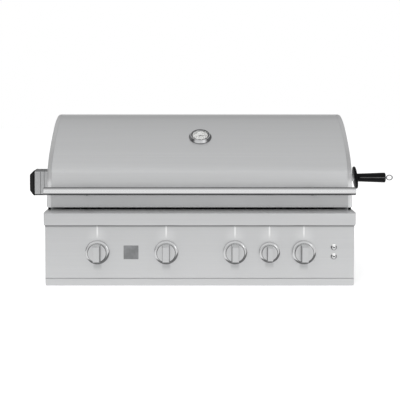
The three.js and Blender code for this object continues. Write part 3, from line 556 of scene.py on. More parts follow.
def rodOf(start, end, radius, sides=20):
    start, end = Vector(start), Vector(end)
    bm = bmesh.new()
    ops.create_cone(
        bm, cap_ends=True, segments=sides, radius1=radius, radius2=radius, depth=(end - start).length)
    return aimed(bm, (start + end) / 2, end - start)


def joined(*pieces):
    # Several bmeshes as one, each of them a closed body of its own
    whole = pieces[0]
    for piece in pieces[1:]:
        spare = meshOf("spare", piece)
        whole.from_mesh(spare)
        bpy.data.meshes.remove(spare)
    return whole


def evaluated(thing):
    # The mesh that an object's modifiers or curve settings give
    bpy.context.view_layer.update()
    bm = bmesh.new()
    bm.from_mesh(thing.evaluated_get(bpy.context.evaluated_depsgraph_get()).to_mesh())
    return bm


def curveMesh(curve):
    thing = placed(curve.name, curve)
    bm = evaluated(thing)
    bpy.data.objects.remove(thing)
    bpy.data.curves.remove(curve)
    ops.remove_doubles(bm, verts=bm.verts, dist=1e-7)
    return bm


def cutWith(bm, other, operation):
    # A boolean of two bmeshes, applied
    objects = [placed("workpiece", meshOf("workpiece", source)) for source in (bm, other)]
    tool = objects[0].modifiers.new("cut", "BOOLEAN")
    setAll(tool, operation=operation, solver="EXACT", object=objects[1])
    result = evaluated(objects[0])
    for thing in objects:
        spent = thing.data
        bpy.data.objects.remove(thing)
        bpy.data.meshes.remove(spent)
    ops.dissolve_limit(result, angle_limit=radians(0.5), verts=result.verts, edges=result.edges)
    return result


def copyOf(node):
    # A CAD node's mesh as clean faces: merged, and flat areas made whole again
    bm = bmesh.new()
    bm.from_mesh(frame["nodes"][node].data)
    ops.remove_doubles(bm, verts=bm.verts, dist=1e-5)
    ops.dissolve_limit(bm, angle_limit=radians(1), verts=bm.verts, edges=bm.edges)
    return bm


def edgesWhere(bm, test):
    return [e for e in bm.edges if test(e.verts[0].co, e.verts[1].co)]


def edgesAlong(bm, axis):
    return edgesWhere(bm, lambda a, b: abs(a[axis] - b[axis]) > 1e-4)


def roundEdges(bm, edges, radius, steps):
    ops.bevel(
        bm, geom=edges, offset=radius, offset_type="OFFSET", segments=steps, profile=0.5,
        affect="EDGES", material=-1, clamp_overlap=True)


def removeFaces(bm, test):
    ops.delete(bm, geom=[f for f in bm.faces if test(f.calc_center_median())], context="FACES")


def drawOut(bm, edges, distance):
    # Edges drawn out along x to a strip of faces
    grown = ops.extrude_edge_only(bm, edges=edges)
    moved = [v for v in grown["geom"] if isinstance(v, bmesh.types.BMVert)]
    ops.translate(bm, verts=moved, vec=(distance, 0, 0))


def faceTowards(bm, face, direction):
    # Turns the whole shape's faces round if this one looks the wrong way
    if face.normal.dot(Vector(direction)) < 0:
        ops.reverse_faces(bm, faces=bm.faces)


def curvePoints(start, pull, end, steps):
    shares = [i / steps for i in range(steps + 1)]
    return [start * (1 - t) ** 2 + pull * (2 * t * (1 - t)) + end * t ** 2 for t in shares]


def arcPoints(centre, radius, fromDegrees, toDegrees, steps):
    points = []
    for i in range(steps + 1):
        angle = radians(fromDegrees + (toDegrees - fromDegrees) * i / steps)
        points.append(Vector(centre) + radius * Vector((cos(angle), sin(angle))))
    return points


def moveSideways(points, distance):
    # The line moved to the left of its run
    moved = []
    for i, here in enumerate(points):
        into = (here - points[max(i - 1, 0)]).normalized()
        away = (points[min(i + 1, len(points) - 1)] - here).normalized()
        into = into if into.length else away
        away = away if away.length else into
        side = Vector((-into.y - away.y, into.x + away.x))
        moved.append(here + side * distance / (1 + into.dot(away)))
    return moved


# Hood: the profile is in depth behind the band's front and height above the ledge

hood = Values(
    lip=(0.070, 0.008), lipReturn=0.0135, lipFold=0.0010,
    crease=(0.086, 0.119), creaseRound=0.004,
    shoulderPull=(0.097, 0.152), shoulder=(0.150, 0.191),
    crownPull=(0.286, 0.290), crown=(0.385, 0.290),
    backPull=(0.610, 0.290), back=(0.630, 0.150), tail=(0.627, 0.110),
    hinge=(0.560, 0.075), heel=0.067, linerGap=0.014, endWall=0.002,
    rimWidth=0.014, rimRound=0.005, slot=(0.335, 0.091), slotWidth=0.034,
    pinRadius=0.006, pinLength=0.036, pinEdge=0.0006,
)
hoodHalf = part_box("hood_end_right")[1].x
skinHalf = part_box("hood_skin")[1].x


def spot(name):
    # A point of the hood's profile as (y, z)
    depth, height = hood[name]
    return Vector((frontY + depth, ledgeTop + height))


def hoodLine(steps):
    line = [spot("lip")]
    line += curvePoints(spot("crease"), spot("shoulderPull"), spot("shoulder"), steps // 2)
    line += curvePoints(spot("shoulder"), spot("crownPull"), spot("crown"), steps)[1:]
    line += curvePoints(spot("crown"), spot("backPull"), spot("back"), steps)[1:]
    return [*line, spot("tail")]


def sheetAcross(points):
    # A line in (y, z) drawn out from end to end of the hood, its middle face looking up
    bm = bmesh.new()
    rail = [bm.verts.new((-skinHalf, p.x, p.y)) for p in points]
    drawOut(bm, [bm.edges.new(pair) for pair in zip(rail, rail[1:])], 2 * skinHalf)
    bm.normal_update()
    bm.faces.ensure_lookup_table()
    faceTowards(bm, bm.faces[len(bm.faces) // 2], (0, -0.3, 1))
    return bm


def makeHoodSkin():
    line = hoodLine(36)
    lip, crease = line[:2]
    bm = sheetAcross([lip + Vector((hood.lipReturn, 0)), *line])
    for bend, radius, steps in ((crease, hood.creaseRound, 4), (lip, hood.lipFold, 3)):
        edges = edgesWhere(bm, lambda a, b: max((p.yz - bend).length for p in (a, b)) < 1e-5)
        roundEdges(bm, edges, radius, steps)
    finishPiece("hoodSkin", bm, "hoodSteel", "hood", "hood_skin", wall=sheet)


def makeHoodLiner():
    bm = sheetAcross(moveSideways(hoodLine(30), -hood.linerGap))
    finishPiece("hoodLiner", bm, "millSteel", "hood", "hood_liner", wall=sheet)


def makeHoodEnd(which, side):
    hinge = spot("hinge")
    slotY, slotTop = spot("slot")
    half, bottom = hood.slotWidth / 2, spot("lip").y
    outline = hoodLine(36) + arcPoints(hinge, hood.heel, 0, -90, 10)
    sides = ((1, bottom), (1, slotTop), (-1, slotTop), (-1, bottom))
    slot = [Vector((slotY + a * half, z)) for a, z in sides]
    bm = bmesh.new()
    corners = [bm.verts.new((side * hoodHalf, p.x, p.y)) for p in outline + slot]
    face = bm.faces.new(corners)
    bm.normal_update()
    faceTowards(bm, face, (side, 0, 0))
    inner = set(corners[len(outline):])
    rim = [e for e in bm.edges if not inner.issuperset(e.verts)]
    drawOut(bm, rim, -side * hood.rimWidth)
    ops.recalc_face_normals(bm, faces=bm.faces)
    bm.normal_update()
    faceTowards(bm, max(bm.faces, key=lambda f: f.calc_area()), (side, 0, 0))
    bm.edges.index_update()
    roundEdges(bm, [e for e in rim if e.is_valid], hood.rimRound, 5)
    # the rolled rims take rimSteel, a copy with painted light and shade; the flat sides take plain steel
    paintFaces(bm, lambda f, c: int(abs(f.normal.x) > 0.98))
    finishPiece(f"hoodEnd{which.capitalize()}", bm, "rimSteel", "hood", f"hood_end_{which}",
                sharp=40, wall=hood.endWall, extra=["brushedSteel"])
    outer = side * (hoodHalf - hood.endWall / 2)
    inside = side * (hoodHalf - hood.pinLength)
    pin = rodOf((inside, *hinge), (outer, *hinge), hood.pinRadius, 32)
    finishPiece(f"hingePin{which.capitalize()}", pin, "polishedSteel", "hood",
                edge=hood.pinEdge)


makeHoodSkin()
makeHoodLiner()
makeHoodEnd("right", 1)
makeHoodEnd("left", -1)
print("hood shells made")


# Hood handle: a long tube on two turned posts, square to the lower face of the hood

handle = Values(
    rise=0.050, standoff=0.066, radius=0.0125, round=0.002, postX=0.360,
    postRadius=0.009, postWaist=0.0065, postFoot=0.0125, footThick=0.003, footEnd=0.006,
    waistStart=0.020, waistInset=0.010, sunk=0.002,
)


def makeHandle():
    lip, crease = spot("lip"), spot("crease")
    rise = (crease - lip).normalized()
    foot = lip + rise * handle.rise
    out = Vector((-rise.y, rise.x))
    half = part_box("hood_handle")[1].x
    radius, corner = handle.radius, handle.round
    rounding = arcPoints((radius - corner, corner), corner, -90, 0, 6)
    profile = [(0, 0), *rounding, *((r, 2 * half - h) for r, h in reversed(rounding)), (0, 2 * half)]
    tube = turned(profile, 96, (-half, *(foot + out * handle.standoff)), (1, 0, 0))
    reach = handle.standoff - radius
    top = reach + handle.sunk
    profile = [
        (0, seat), (handle.postFoot, seat), (handle.postFoot, handle.footThick),
        (handle.postRadius, handle.footEnd), (handle.postWaist, handle.waistStart),
        (handle.postWaist, reach - handle.waistInset), (handle.postRadius, top), (0, top)]
    posts = [turned(profile, 48, (x, *foot), (0, *out)) for x in (-handle.postX, handle.postX)]
    finishPiece("hoodHandle", joined(tube, *posts), "handleSteel", "hood", "hood_handle",
                sharp=30)


makeHandle()
print("handle made")


# Thermometer, square to the hood where it sits

gauge = Values(
    radius=0.0374, edge=0.0012, chamfer=0.0006, slope=(0.0008, -0.0012),
    shoulder=(0.0322, 0.0090), rim=(0.0308, 0.0095), lip=((-0.0004, 0.0006), (0, 0.0014)),
    seal=(0.0259, 0.0309), face=0.0260, floor=0.0035, stem=0.0045, stemLength=0.060,
    dialThick=0.001, dialChamfer=0.0002, printThick=0.00008, numbers=7,
    numberRadius=0.0180, numberSize=0.0034, scaleFrom=225, scaleTo=-45,
    tickRadius=0.0235, longTick=(0.0026, 0.0005), shortTick=(0.0016, 0.0003),
    needleTail=0.0045, needle=0.019, needleHalf=0.0009, needleThick=0.0006, tipShare=0.25,
    hub=((0.0024, 0.0006), (0.0018, 0.0011), (0, 0.0013)),
    lens=0.0070, lensThick=0.0012, lensRise=0.0003,
)
gaugeJoint = jointOf("needle_turn")
dialLow = gauge.floor + seat
dialTop = dialLow + gauge.dialThick
dialRadius = gauge.face - seat


def onGauge(bm):
    return aimed(bm, Vector(gaugeJoint["pos_m"]), Vector(gaugeJoint["axis"]).normalized())


def makeGaugeCase():
    radius, face, stem, chamfer = gauge.radius, gauge.face, gauge.stem, gauge.chamfer
    case = turned([
        (0, -gauge.stemLength), (stem, -gauge.stemLength), (stem, seat), (radius - chamfer, seat),
        (radius, seat + chamfer), *inset(radius, gauge.edge, ((0, 0), gauge.slope)),
        gauge.shoulder, gauge.rim, *inset(face, gauge.rim[1], gauge.lip),
        (face, gauge.floor), (0, gauge.floor)], 96)
    shadeFrom, shadeTo = gauge.seal
    # painted shade: the ring between rim and dial takes a darker steel
    paintFaces(case, lambda f, c: int(
        shadeFrom < max(v.co.xy.length for v in f.verts) < shadeTo and c.z > 0))
    finishPiece("gaugeCase", onGauge(case), "gaugeSteel", "hood",
                "thermometer_case", sharp=28, extra=["gaugeShadeSteel"])


def numberMesh(text, centre):
    half = gauge.printThick / 2
    bm = curveMesh(setAll(
        bpy.data.curves.new("number", "FONT"), body=text, size=gauge.numberSize, align_x="CENTER",
        align_y="CENTER", extrude=half, resolution_u=3))
    ops.translate(bm, verts=bm.verts, vec=centre + Vector((0, 0, half)))
    return bm


def makeGaugeDial():
    chamfer = gauge.dialChamfer
    disc = turned([
        (0, dialLow), (dialRadius, dialLow), (dialRadius, dialTop - chamfer), (dialRadius - chamfer, dialTop),
        (0, dialTop)], 96)
    finishPiece("gaugeDial", onGauge(disc), "dialEnamel", "hood", "thermometer_dial")
    marks = []
    steps = (gauge.numbers - 1) * 2
    for i in range(steps + 1):
        angle = radians(gauge.scaleFrom + (gauge.scaleTo - gauge.scaleFrom) * i / steps)
        long, wide = gauge["shortTick" if i % 2 else "longTick"]
        mark = boxOf((-long, -wide / 2, 0), (0, wide / 2, gauge.printThick))
        place = Matrix.Rotation(angle, 4, "Z") @ Matrix.Translation((gauge.tickRadius, 0, dialTop))
        ops.transform(mark, matrix=place, verts=mark.verts)
        marks.append(mark)
        if i % 2 == 0:
            where = Vector((cos(angle), sin(angle), 0)) * gauge.numberRadius
            marks.append(numberMesh(str((i // 2 + 1) * 100), where + Vector((0, 0, dialTop))))
    finishPiece("gaugePrint", onGauge(joined(*marks)), "printInk", "hood")


def makeGaugeNeedle():
    base, half = dialTop + seat, gauge.needleHalf
    pointer = boxOf(
        (-gauge.needleTail, -half, base), (gauge.needle, half, base + gauge.needleThick))
    for v in pointer.verts:
        if v.co.x > 0:
            v.co.y *= gauge.tipShare
    hub = turned([(0, base), (gauge.hub[0][0], base), *((r, base + h) for r, h in gauge.hub)], 40)
    finishPiece("gaugeNeedle", onGauge(joined(hub, pointer)), "needlePaint", "needle",
                "thermometer_needle")


def makeGaugeLens():
    low = gauge.lens
    dome = []
    for i in range(9):
        share = 1 - i / 8
        dome.append((dialRadius * share, low + gauge.lensThick + gauge.lensRise * (1 - share ** 2)))
    disc = turned([(0, low), (dialRadius, low), *dome], 96)
    finishPiece("gaugeLens", onGauge(disc), "dialGlass", "hood", "thermometer_lens")


makeGaugeCase()
makeGaugeDial()
makeGaugeNeedle()
makeGaugeLens()
print("thermometer made")


# Front: band with its ledge, control panel and tray, all folded from sheet

front = Values(
    bandNose=0.004, bandCorner=0.007, bandReturn=0.024, bandEnd=0.036,
    restRadius=0.0045, restInset=0.008, restDepth=0.078, restHeight=0.0077, restEdge=0.001,
    panelEdge=0.0012, trayCorner=0.0035, trayEdge=0.0012, panHalf=0.428,
    panOverlap=0.003, panLow=0.0023, panTop=0.0203, panCorner=0.008, panFloorRound=0.004,
)


def foldedFront(low, high, corner, nose):
    # A box with round lower corners and a rolled front edge, open at the rear
    bm = boxOf(low, high)
    if corner:
        sides = edgesWhere(bm, lambda a, b: abs(a.y - b.y) > 1e-4 and a.z < low.z + 1e-4)
        roundEdges(bm, sides, corner, 8)
    roundEdges(bm, edgesWhere(bm, lambda a, b: max(a.y, b.y) < low.y + 1e-5), nose, 5)
    rear = [f for f in bm.faces if min(v.co.y for v in f.verts) > high.y - 1e-5]
    ops.delete(bm, geom=rear, context="FACES")
    ops.recalc_face_normals(bm, faces=bm.faces)
    bm.normal_update()
    faceTowards(bm, min(bm.faces, key=lambda f: f.calc_center_median().y), (0, -1, 0))
    return bm


def makeBand():
    # The box ends at the ledge. The two rests of the shut hood stand on it
    bm = foldedFront(bandLow, Vector((bandHigh.x, bandHigh.y, ledgeTop)), front.bandCorner, front.bandNose)
    for depth in (front.bandReturn, front.bandEnd):
        ops.bisect_plane(
            bm, geom=[*bm.verts, *bm.edges, *bm.faces], plane_co=(0, frontY + depth, 0), plane_no=(0, 1, 0))

    def spare(c):
        # the ends reach further back than the underside, the top goes all the way
        onEnd = abs(c.x) > bandHigh.x - 1e-4
        return c.z <= ledgeTop - 1e-4 and c.y - frontY > front["bandEnd" if onEnd else "bandReturn"]

    removeFaces(bm, spare)
    finishPiece("frontBand", bm, "bandSteel", "firebox", "front_ledge", wall=sheet)
    radius, height, edge = front.restRadius, front.restHeight, front.restEdge
    profile = [(0, 0.0001), (radius, 0.0001), (radius, height - edge), (radius - edge, height), (0, height)]
    x = hoodHalf - front.restInset
    rests = [turned(profile, 32, (a, frontY + front.restDepth, ledgeTop)) for a in (-x, x)]
    finishPiece("hoodRests", joined(*rests), "blackPlastic", "firebox")


def makePanel():
    bm = foldedFront(panelLow, panelHigh, 0, front.panelEdge)
    finishPiece("controlPanel", bm, "panelSteel", "firebox", "control_panel", wall=sheet)


def makeTray():
    high = Vector((trayHigh.x, panelHigh.y, trayHigh.z))
    bm = foldedFront(trayLow, high, front.trayCorner, front.trayEdge)
    finishPiece("trayFront", bm, "brushedSteel", "tray", wall=sheet)
    half, low, top = front.panHalf, front.panLow, front.panTop
    pan = boxOf((-half, panelHigh.y - front.panOverlap, low), (half, trayHigh.y, top))
    roundEdges(pan, edgesAlong(pan, 2), front.panCorner, 5)
    roundEdges(pan, edgesWhere(pan, lambda a, b: max(a.z, b.z) < low + 1e-4), front.panFloorRound, 4)
    removeFaces(pan, lambda c: c.z > top - 1e-4)
    finishPiece("trayPan", pan, "millSteel", "tray", "grease_tray", wall=sheet)


makeBand()
makePanel()
makeTray()
print("front made")


# Knobs: a turned disc with a tapered grip bar, over a rolled bezel

knob = Values(
    back=0.0133, backEdge=0.002, disc=0.0085, reach=0.050, ringDepth=0.0028,
    rim=((0, 0.004), (0.0004, 0.0024), (0.0014, 0.0009), (0.003, 0.0001), (0.004, 0)),
    gripWidth=0.024, rearGripWidth=0.0195, gripSunk=0.002, gripInset=0.001,
    frontWidthShare=0.82, frontLengthShare=0.76, bevel=0.0011,
)
bezel = Values(
    height=0.009, fall=0.0018, wall=0.0085, floor=0.003, hole=0.010, chamfer=0.0004,
    rim=((0, 0.0016), (0.0003, 0.0008), (0.0010, 0)),
    lip=((-0.0006, 0.0001), (-0.0002, 0.0001), (0, 0.0006)),
)
stem = Values(radius=0.004, chamfer=0.0005, flange=0.007, flangeThick=0.004)


def makeKnob(which):
    low, high, centre = span(f"knob_{which}")
    radius = (high.x - low.x) / 2
    half = (knob.rearGripWidth if which == "rear" else knob.gripWidth) / 2
    back, edge = knob.back, knob.backEdge
    face = back + knob.disc
    disc = turned([
        (0, back), (radius - edge, back), (radius, back + edge), *inset(radius, face, knob.rim),
        (0, face)], 96)
    bar = boxOf((-half, -radius, face - knob.gripSunk), (half, radius, knob.reach))
    for v in bar.verts:
        if v.co.z > face:
            v.co.x *= knob.frontWidthShare
            v.co.y *= knob.frontLengthShare
    inside, start, end = radius - knob.gripInset, back + 0.001, knob.reach + 0.01
    barrel = turned([(0, start), (inside, start), (inside, end), (0, end)], 96)
    whole = cutWith(disc, cutWith(bar, barrel, "INTERSECT"), "UNION")
    # from the knob's own axis, z, to the panel's outward direction, with its length kept upright
    turn = Matrix.Translation((centre.x, panelFace, centre.z)) @ Matrix.Rotation(radians(90), 4, "X")
    ops.transform(whole, matrix=turn, verts=whole.verts)

    # Lighter and darker copies of the steel as painted light and shade: grip sides darker, grip ends and disc
    # wall lighter, the ring at the disc's front edge darker
    def choose(f, c):
        reach = panelFace - c.y
        if reach > face + 0.001:
            return 1 if abs(f.normal.x) > 0.8 else 2 if abs(f.normal.z) > 0.7 else 0
        if reach > face - knob.ringDepth and f.normal.y > -0.985:
            return 3
        return 2 if abs(f.normal.y) < 0.5 else 0

    paintFaces(whole, choose)
    finishPiece(f"knob{which.capitalize()}", whole, "knobSteel", f"knob_{which}", f"knob_{which}",
                edge=knob.bevel, extra=["gripSteel", "capSteel", "ringSteel"])


def makeBezel(which):
    low, high, centre = span(f"knob_bezel_{which}")
    radius = (high.x - low.x) / 2
    inner, hole, height, chamfer = radius - bezel.wall, bezel.hole, bezel.height, bezel.chamfer
    profile = [
        (hole, seat), (radius - chamfer, seat), (radius, seat + chamfer),
        *inset(radius, height - bezel.fall, bezel.rim), *inset(inner, height, bezel.lip),
        (inner, bezel.floor), (hole, bezel.floor), (hole, seat)]
    ring = turned(profile, 96, (centre.x, panelFace, centre.z), (0, -1, 0))
    finishPiece(f"bezel{which.capitalize()}", ring, "bezelSteel", "firebox", f"knob_bezel_{which}")


def makeStem(which):
    low, high, centre = span(f"valve_stem_{which}")
    radius, chamfer, flange = stem.radius, stem.chamfer, stem.flange
    back, reach = panelFace - high.y, panelFace - low.y
    top = back + stem.flangeThick
    profile = [
        (0, back), (flange, back), (flange, top), (radius, top), (radius, reach - chamfer),
        (radius - chamfer, reach), (0, reach)]
    rod = turned(profile, 32, (centre.x, panelFace, centre.z), (0, -1, 0))
    finishPiece(f"stem{which.capitalize()}", rod, "brassMetal", f"stem_{which}", f"valve_stem_{which}")


for which in knobNames:
    makeKnob(which)
    makeBezel(which)
    makeStem(which)
print("knobs made")


# Push buttons, their bezels and the lamps under the band

button = Values(
    radius=0.0056, dome=0.0018, domeTo=70, dot=0.0020, dotTop=-0.0001, dotFloor=-0.0009,
    dotReach=0.0028, dotDepth=0.0012, sleeve=0.008, sleeveEnd=-0.012, bezelRadius=0.0095,
    rim=((0, 0), (0, -0.0010), (0.0004, -0.0017), (0.0014, -0.0030)),
    lip=((-0.0010, -0.0040), (-0.0003, -0.0036)),
)
lamp = Values(
    radius=0.0023, rim=((0.0009, 0), (0.0002, -0.0006), (0, -0.0014)), lensHeight=0.002,
    sunk=0.0015, railThick=0.003,
)
badge = Values(centre=(-0.2155, 0.1065), size=(0.0465, 0.043), thick=0.0012, corner=0.001, edge=0.0003)


def makeButtons():
    shown = []
    radius, dot, end, sleeve = button.radius, button.dot, button.sleeveEnd, button.sleeve
    for name in ("upper", "lower"):
        low, high, centre = span(f"switch_button_{name}")
        centre.y = low.y
        length = high.y - low.y
        dome = [(radius * cos(radians(d)), button.dome * (sin(radians(d)) - 1))
                for d in range(0, button.domeTo + 1, 10)]
        profile = [
            (0, -length), (radius, -length), *dome, (dot, button.dotTop), (dot, button.dotFloor),
            (0, button.dotFloor)]
        body = turned(profile, 64, centre, (0, -1, 0))
        paintFaces(body, lambda f, c: int(
            (c - centre).length < button.dotReach and c.y < centre.y + button.dotDepth))
        finishPiece(f"button{name.capitalize()}", body, "buttonSteel", f"button_{name}",
                    f"switch_button_{name}", sharp=50, extra=["blackAndShadeFill"])
        ring = [(radius + seat, end), (sleeve, end), (sleeve, 0), *inset(button.bezelRadius, 0, button.rim),
                *inset(radius, 0, button.lip), (radius + seat, end)]
        shown.append(turned(ring, 72, (centre.x, panelFace - seat, centre.z), (0, -1, 0)))
    low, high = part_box("switch_block")
    block = boxOf((low.x, panelFace + sheet + seat, low.z), high)
    finishPiece("switchBezels", joined(*shown, block), "buttonSteel", "firebox", "switch_block",
                sharp=50)


def makeLamps():
    low, high, centre = span("light_rail")
    top = high.z - lamp.sunk
    rail = [boxOf((low.x, low.y, high.z - lamp.railThick), high)]
    profile = [(0, low.z), *inset(lamp.radius, low.z, lamp.rim), (lamp.radius, top), (0, top)]
    for which in knobNames:
        rail.append(turned(profile, 32, (span(f"knob_{which}")[2].x, centre.y, 0)))
    whole = joined(*rail)
    paintFaces(whole, lambda f, c: 0 if f.normal.z < -0.5 and c.z < low.z + lamp.lensHeight else 1)
    finishPiece("lampRail", whole, "lampLens", "firebox", "light_rail", extra=["blackAndShadeFill"])


def makeBadge():
    # A bare plate, where such products carry one
    x, z = badge.centre
    wide, high = badge.size
    plate = boxOf((x - wide / 2, panelFace - badge.thick, z - high / 2),
                  (x + wide / 2, panelFace - 0.0001, z + high / 2))
    roundEdges(plate, edgesAlong(plate, 1), badge.corner, 4)
    finishPiece("badgePlate", plate, "badgeGrey", "firebox", edge=badge.edge)


makeButtons()
makeLamps()
makeBadge()
print("buttons, lamps and plate made")


# Spit drive on the left, and the spit with its handle on the right

motor = Values(
    depth=0.076, corner=0.007, seam=0.0009, core=0.003, seamShares=(0.30, 0.49), edge=0.0004,
    gland=(0.006, 0.005), glandNeck=0.0045, glandHeight=0.012, coverCorner=0.0155, coverEdge=0.0015,
)
spit = Values(
    shift=0.0055, gripStart=0.0138, gripEnd=0.0171, gripRound=0.0028,
    gripChamfer=(0.0015, 0.003), seamFrom=0.004, guard=0.0385, guardThick=0.0080, tilt=6.5,
    loopRadius=0.0108, loopShares=(1.09, 1, 0.93), wire=0.0018,
)
bush = Values(radius=0.013, chamfer=0.0003, collar=0.0015, groove=0.0085, body=0.0126, tail=0.0015)


def makeMotor():
    low, high, centre = span("motor_case")
    rear = low.y + motor.depth
    half = motor.seam / 2
    seams = (low.x + (high.x - low.x) * share for share in motor.seamShares)
    cuts = [low.x - half, *seams, high.x + half]
    shells = []
    for start, end in zip(cuts, cuts[1:]):
        shell = boxOf((start + half, low.y, low.z), (end - half, rear, high.z))
        roundEdges(shell, edgesAlong(shell, 0), motor.corner, 5)
        shells.append(shell)
    # painted shade: a black core inside the shells, so the seams between them look dark
    deep = Vector((1, 1, 1)) * motor.core
    core = boxOf(low + deep, Vector((high.x, rear, high.z)) - deep)
    paintFaces(core, lambda f, c: 1)
    radius, collar = motor.gland
    gland = turned(
        [(0, 0), (radius, 0), (radius, collar), (motor.glandNeck, high.y - rear), (0, high.y - rear)], 40,
        (centre.x, rear, low.z + motor.glandHeight), (0, 1, 0))
    finishPiece("motorCase", joined(*shells, core, gland), "motorSteel", "firebox", "motor_case",
                edge=motor.edge, extra=["blackAndShadeFill"])
    low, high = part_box("motor_cover")
    cover = boxOf(low, high)
    outer = edgesWhere(cover, lambda a, b: max(a.x, b.x) < low.x + 1e-5)
    roundEdges(cover, outer, motor.coverCorner, 1)
    finishPiece("motorCover", cover, "blackPlastic", "firebox", "motor_cover",
                edge=motor.coverEdge)


def makeGrip(place, x, length):
    start, end, soft = spit.gripStart, spit.gripEnd, spit.gripRound
    inside, deep = spit.gripChamfer
    profile = [(0, 0), (start - inside, 0), (start, deep)]
    for i in range(1, 12):
        share = i / 12
        profile.append((start + (end - start) * share, deep + (length - 2 * deep) * share))
    profile += [*arcPoints((end - soft, length - soft), soft, 0, 90, 6), (0, length)]
    grip = turned(profile, 72, place, (1, 0, 0))
    seamFrom = x + spit.seamFrom
    # painted highlight: a lighter grey strip where the grip faces straight front or back
    paintFaces(grip, lambda f, c: int(abs(f.normal.y) > 0.98 and 0 < f.normal.z < 0.14 and c.x > seamFrom))
    finishPiece("spitGrip", grip, "blackPlastic", "spit", "spit_handle", sharp=40,
                extra=["gripHighlightGrey"])


def makeGuard():
    guard, half = spit.guard, spit.guardThick / 2
    profile = [(0, -half), (guard - 0.0034, -half), (guard - 0.0008, -half + 0.0014), (guard, -0.0008),
               (guard - 0.0002, half - 0.0016), (guard - 0.0014, half), (0, half)]
    tilt = radians(spit.tilt)
    place = span("spit_guard")[2] - Vector((spit.shift, 0, 0))
    disc = turned(profile, 96, place, (cos(tilt), 0, sin(tilt)))
    finishPiece("spitGuard", disc, "blackPlastic", "spit", "spit_guard", sharp=50)


def makeLoop(axis):
    low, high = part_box("spit_loop")
    wire, shares = spit.wire, spit.loopShares
    radius = spit.loopRadius - wire
    ring = bmesh.new()
    ops.create_circle(ring, segments=12, radius=wire)
    ops.rotate(ring, verts=ring.verts, cent=(0, 0, 0), matrix=Matrix.Rotation(radians(90), 3, "Y"))
    ops.translate(ring, verts=ring.verts, vec=(0, 0, radius))
    spinRound(ring, [*ring.verts, *ring.edges], (0, 1, 0), 48)
    ops.scale(ring, verts=ring.verts, vec=shares)
    centreX = high.x - (wire + radius) * shares[0]
    ops.translate(ring, verts=ring.verts, vec=(centreX, *axis))
    neck = rodOf((low.x - spit.shift, *axis), (centreX - radius * shares[0], *axis), wire, 12)
    finishPiece("spitLoop", joined(ring, neck), "wireSteel", "spit", "spit_loop")


def makeBush(axis):
    low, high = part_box("spit_bush")
    length = high.x - low.x
    radius, chamfer, collar, groove = bush.radius, bush.chamfer, bush.collar, bush.groove
    profile = [(0, 0), (radius - chamfer, 0), (radius, chamfer), (radius, collar), (groove, collar + 0.0001),
               (groove, 0.005), (bush.body, 0.0051), (bush.body, length - bush.tail),
               (bush.body - bush.tail, length), (0, length)]
    finishPiece("spitBush", turned(profile, 64, (low.x, *axis), (1, 0, 0)), "millSteel", "spit",
                "spit_bush")


def makeSpit():
    axis = jointOf("spit_turn")["pos_m"][1:]
    low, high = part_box("spit_handle")
    makeGrip((low.x - spit.shift, *axis), low.x, high.x - low.x)
    makeGuard()
    makeLoop(axis)
    makeBush(axis)


makeMotor()
makeSpit()
print("spit made")


# Pieces whose CAD shape is right: the same faces with softened edges

carried = {  # look, body, slot, edge
    "firebox_body": ("millSteel", "firebox", "plain_steel", 0.0007),
    "firebox_front_wall": ("millSteel", "firebox", "plain_steel", 0.0004),
    "firebox_rear_wall": ("millSteel", "firebox", "plain_steel", 0.0004),
    "gas_manifold": ("brassMetal", "firebox", "brass", 0.0006),
    "rear_burner_housing": ("millSteel", "firebox", "plain_steel", 0.0008),
    "rear_burner_tile": ("burnerClay", "firebox", "ceramic", 0.0008),
    "motor_bracket": ("millSteel", "firebox", "plain_steel", 0.0005),
    "spit_bracket": ("millSteel", "firebox", "plain_steel", 0.0005),
    "spit_rod": ("millSteel", "spit", "plain_steel", 0.0005),
    "meat_fork_left": ("millSteel", "fork_left", "plain_steel", 0.0003),
    "meat_fork_right": ("millSteel", "fork_right", "plain_steel", 0.0003),
    **{f"flame_tamer_{i}": ("millSteel", "firebox", "plain_steel", 0.0004) for i in range(1, 5)},
}


def dressCarried():
    for node, (look, body, slot, edge) in carried.items():
        first, *others = node.split("_")
        name = first + "".join(word.capitalize() for word in others)
        finishPiece(name, copyOf(node), look, body, node, edge=edge)


# Burner tubes with their ports, and round-rod grates

burner = Values(
    radius=0.0125, spread=0.048, mouth=0.078, neck=0.150, leg=0.205, rear=0.543,
    portPitch=0.010, portRadius=0.0012, portSunk=0.0006, portDeep=0.0007, portLean=28,
    pinRadius=0.004, samples=12, sides=24,
)
grate = Values(rods=10, pitch=0.0214, rod=0.004, rodRound=0.001, bar=0.004, barInset=0.007)


def smoothRoute(points, samples):
    # A centripetal curve through the points, as the tube is bent
    whole = [points[0] * 2 - points[1], *points, points[-1] * 2 - points[-2]]
    stages = (((0, 1), (1, 2), (2, 3)), ((0, 2), (1, 3)), ((1, 2),))
    route = []
    for four in zip(whole, whole[1:], whole[2:], whole[3:]):
        ages = [0.0]
        for a, b in zip(four, four[1:]):
            ages.append(ages[-1] + (b - a).length ** 0.5)
        for i in range(samples):
            t = ages[1] + (ages[2] - ages[1]) * i / samples
            near = four
            for stage in stages:
                spans = [(ages[start], ages[end]) for start, end in stage]
                near = [a * ((late - t) / (late - early)) + b * ((t - early) / (late - early))
                        for (early, late), a, b in zip(spans, near, near[1:])]
            route.append(near[0])
    return [*route, points[-1]]


def tubeAlong(route, radius, sides):
    curve = bpy.data.curves.new("route", "CURVE")
    setAll(curve, dimensions="3D", bevel_depth=radius, bevel_resolution=sides // 4 - 1, use_fill_caps=True)
    line = curve.splines.new("POLY")
    line.points.add(len(route) - 1)
    for point, place in zip(line.points, route):
        point.co = (*place, 1)
    return curveMesh(curve)


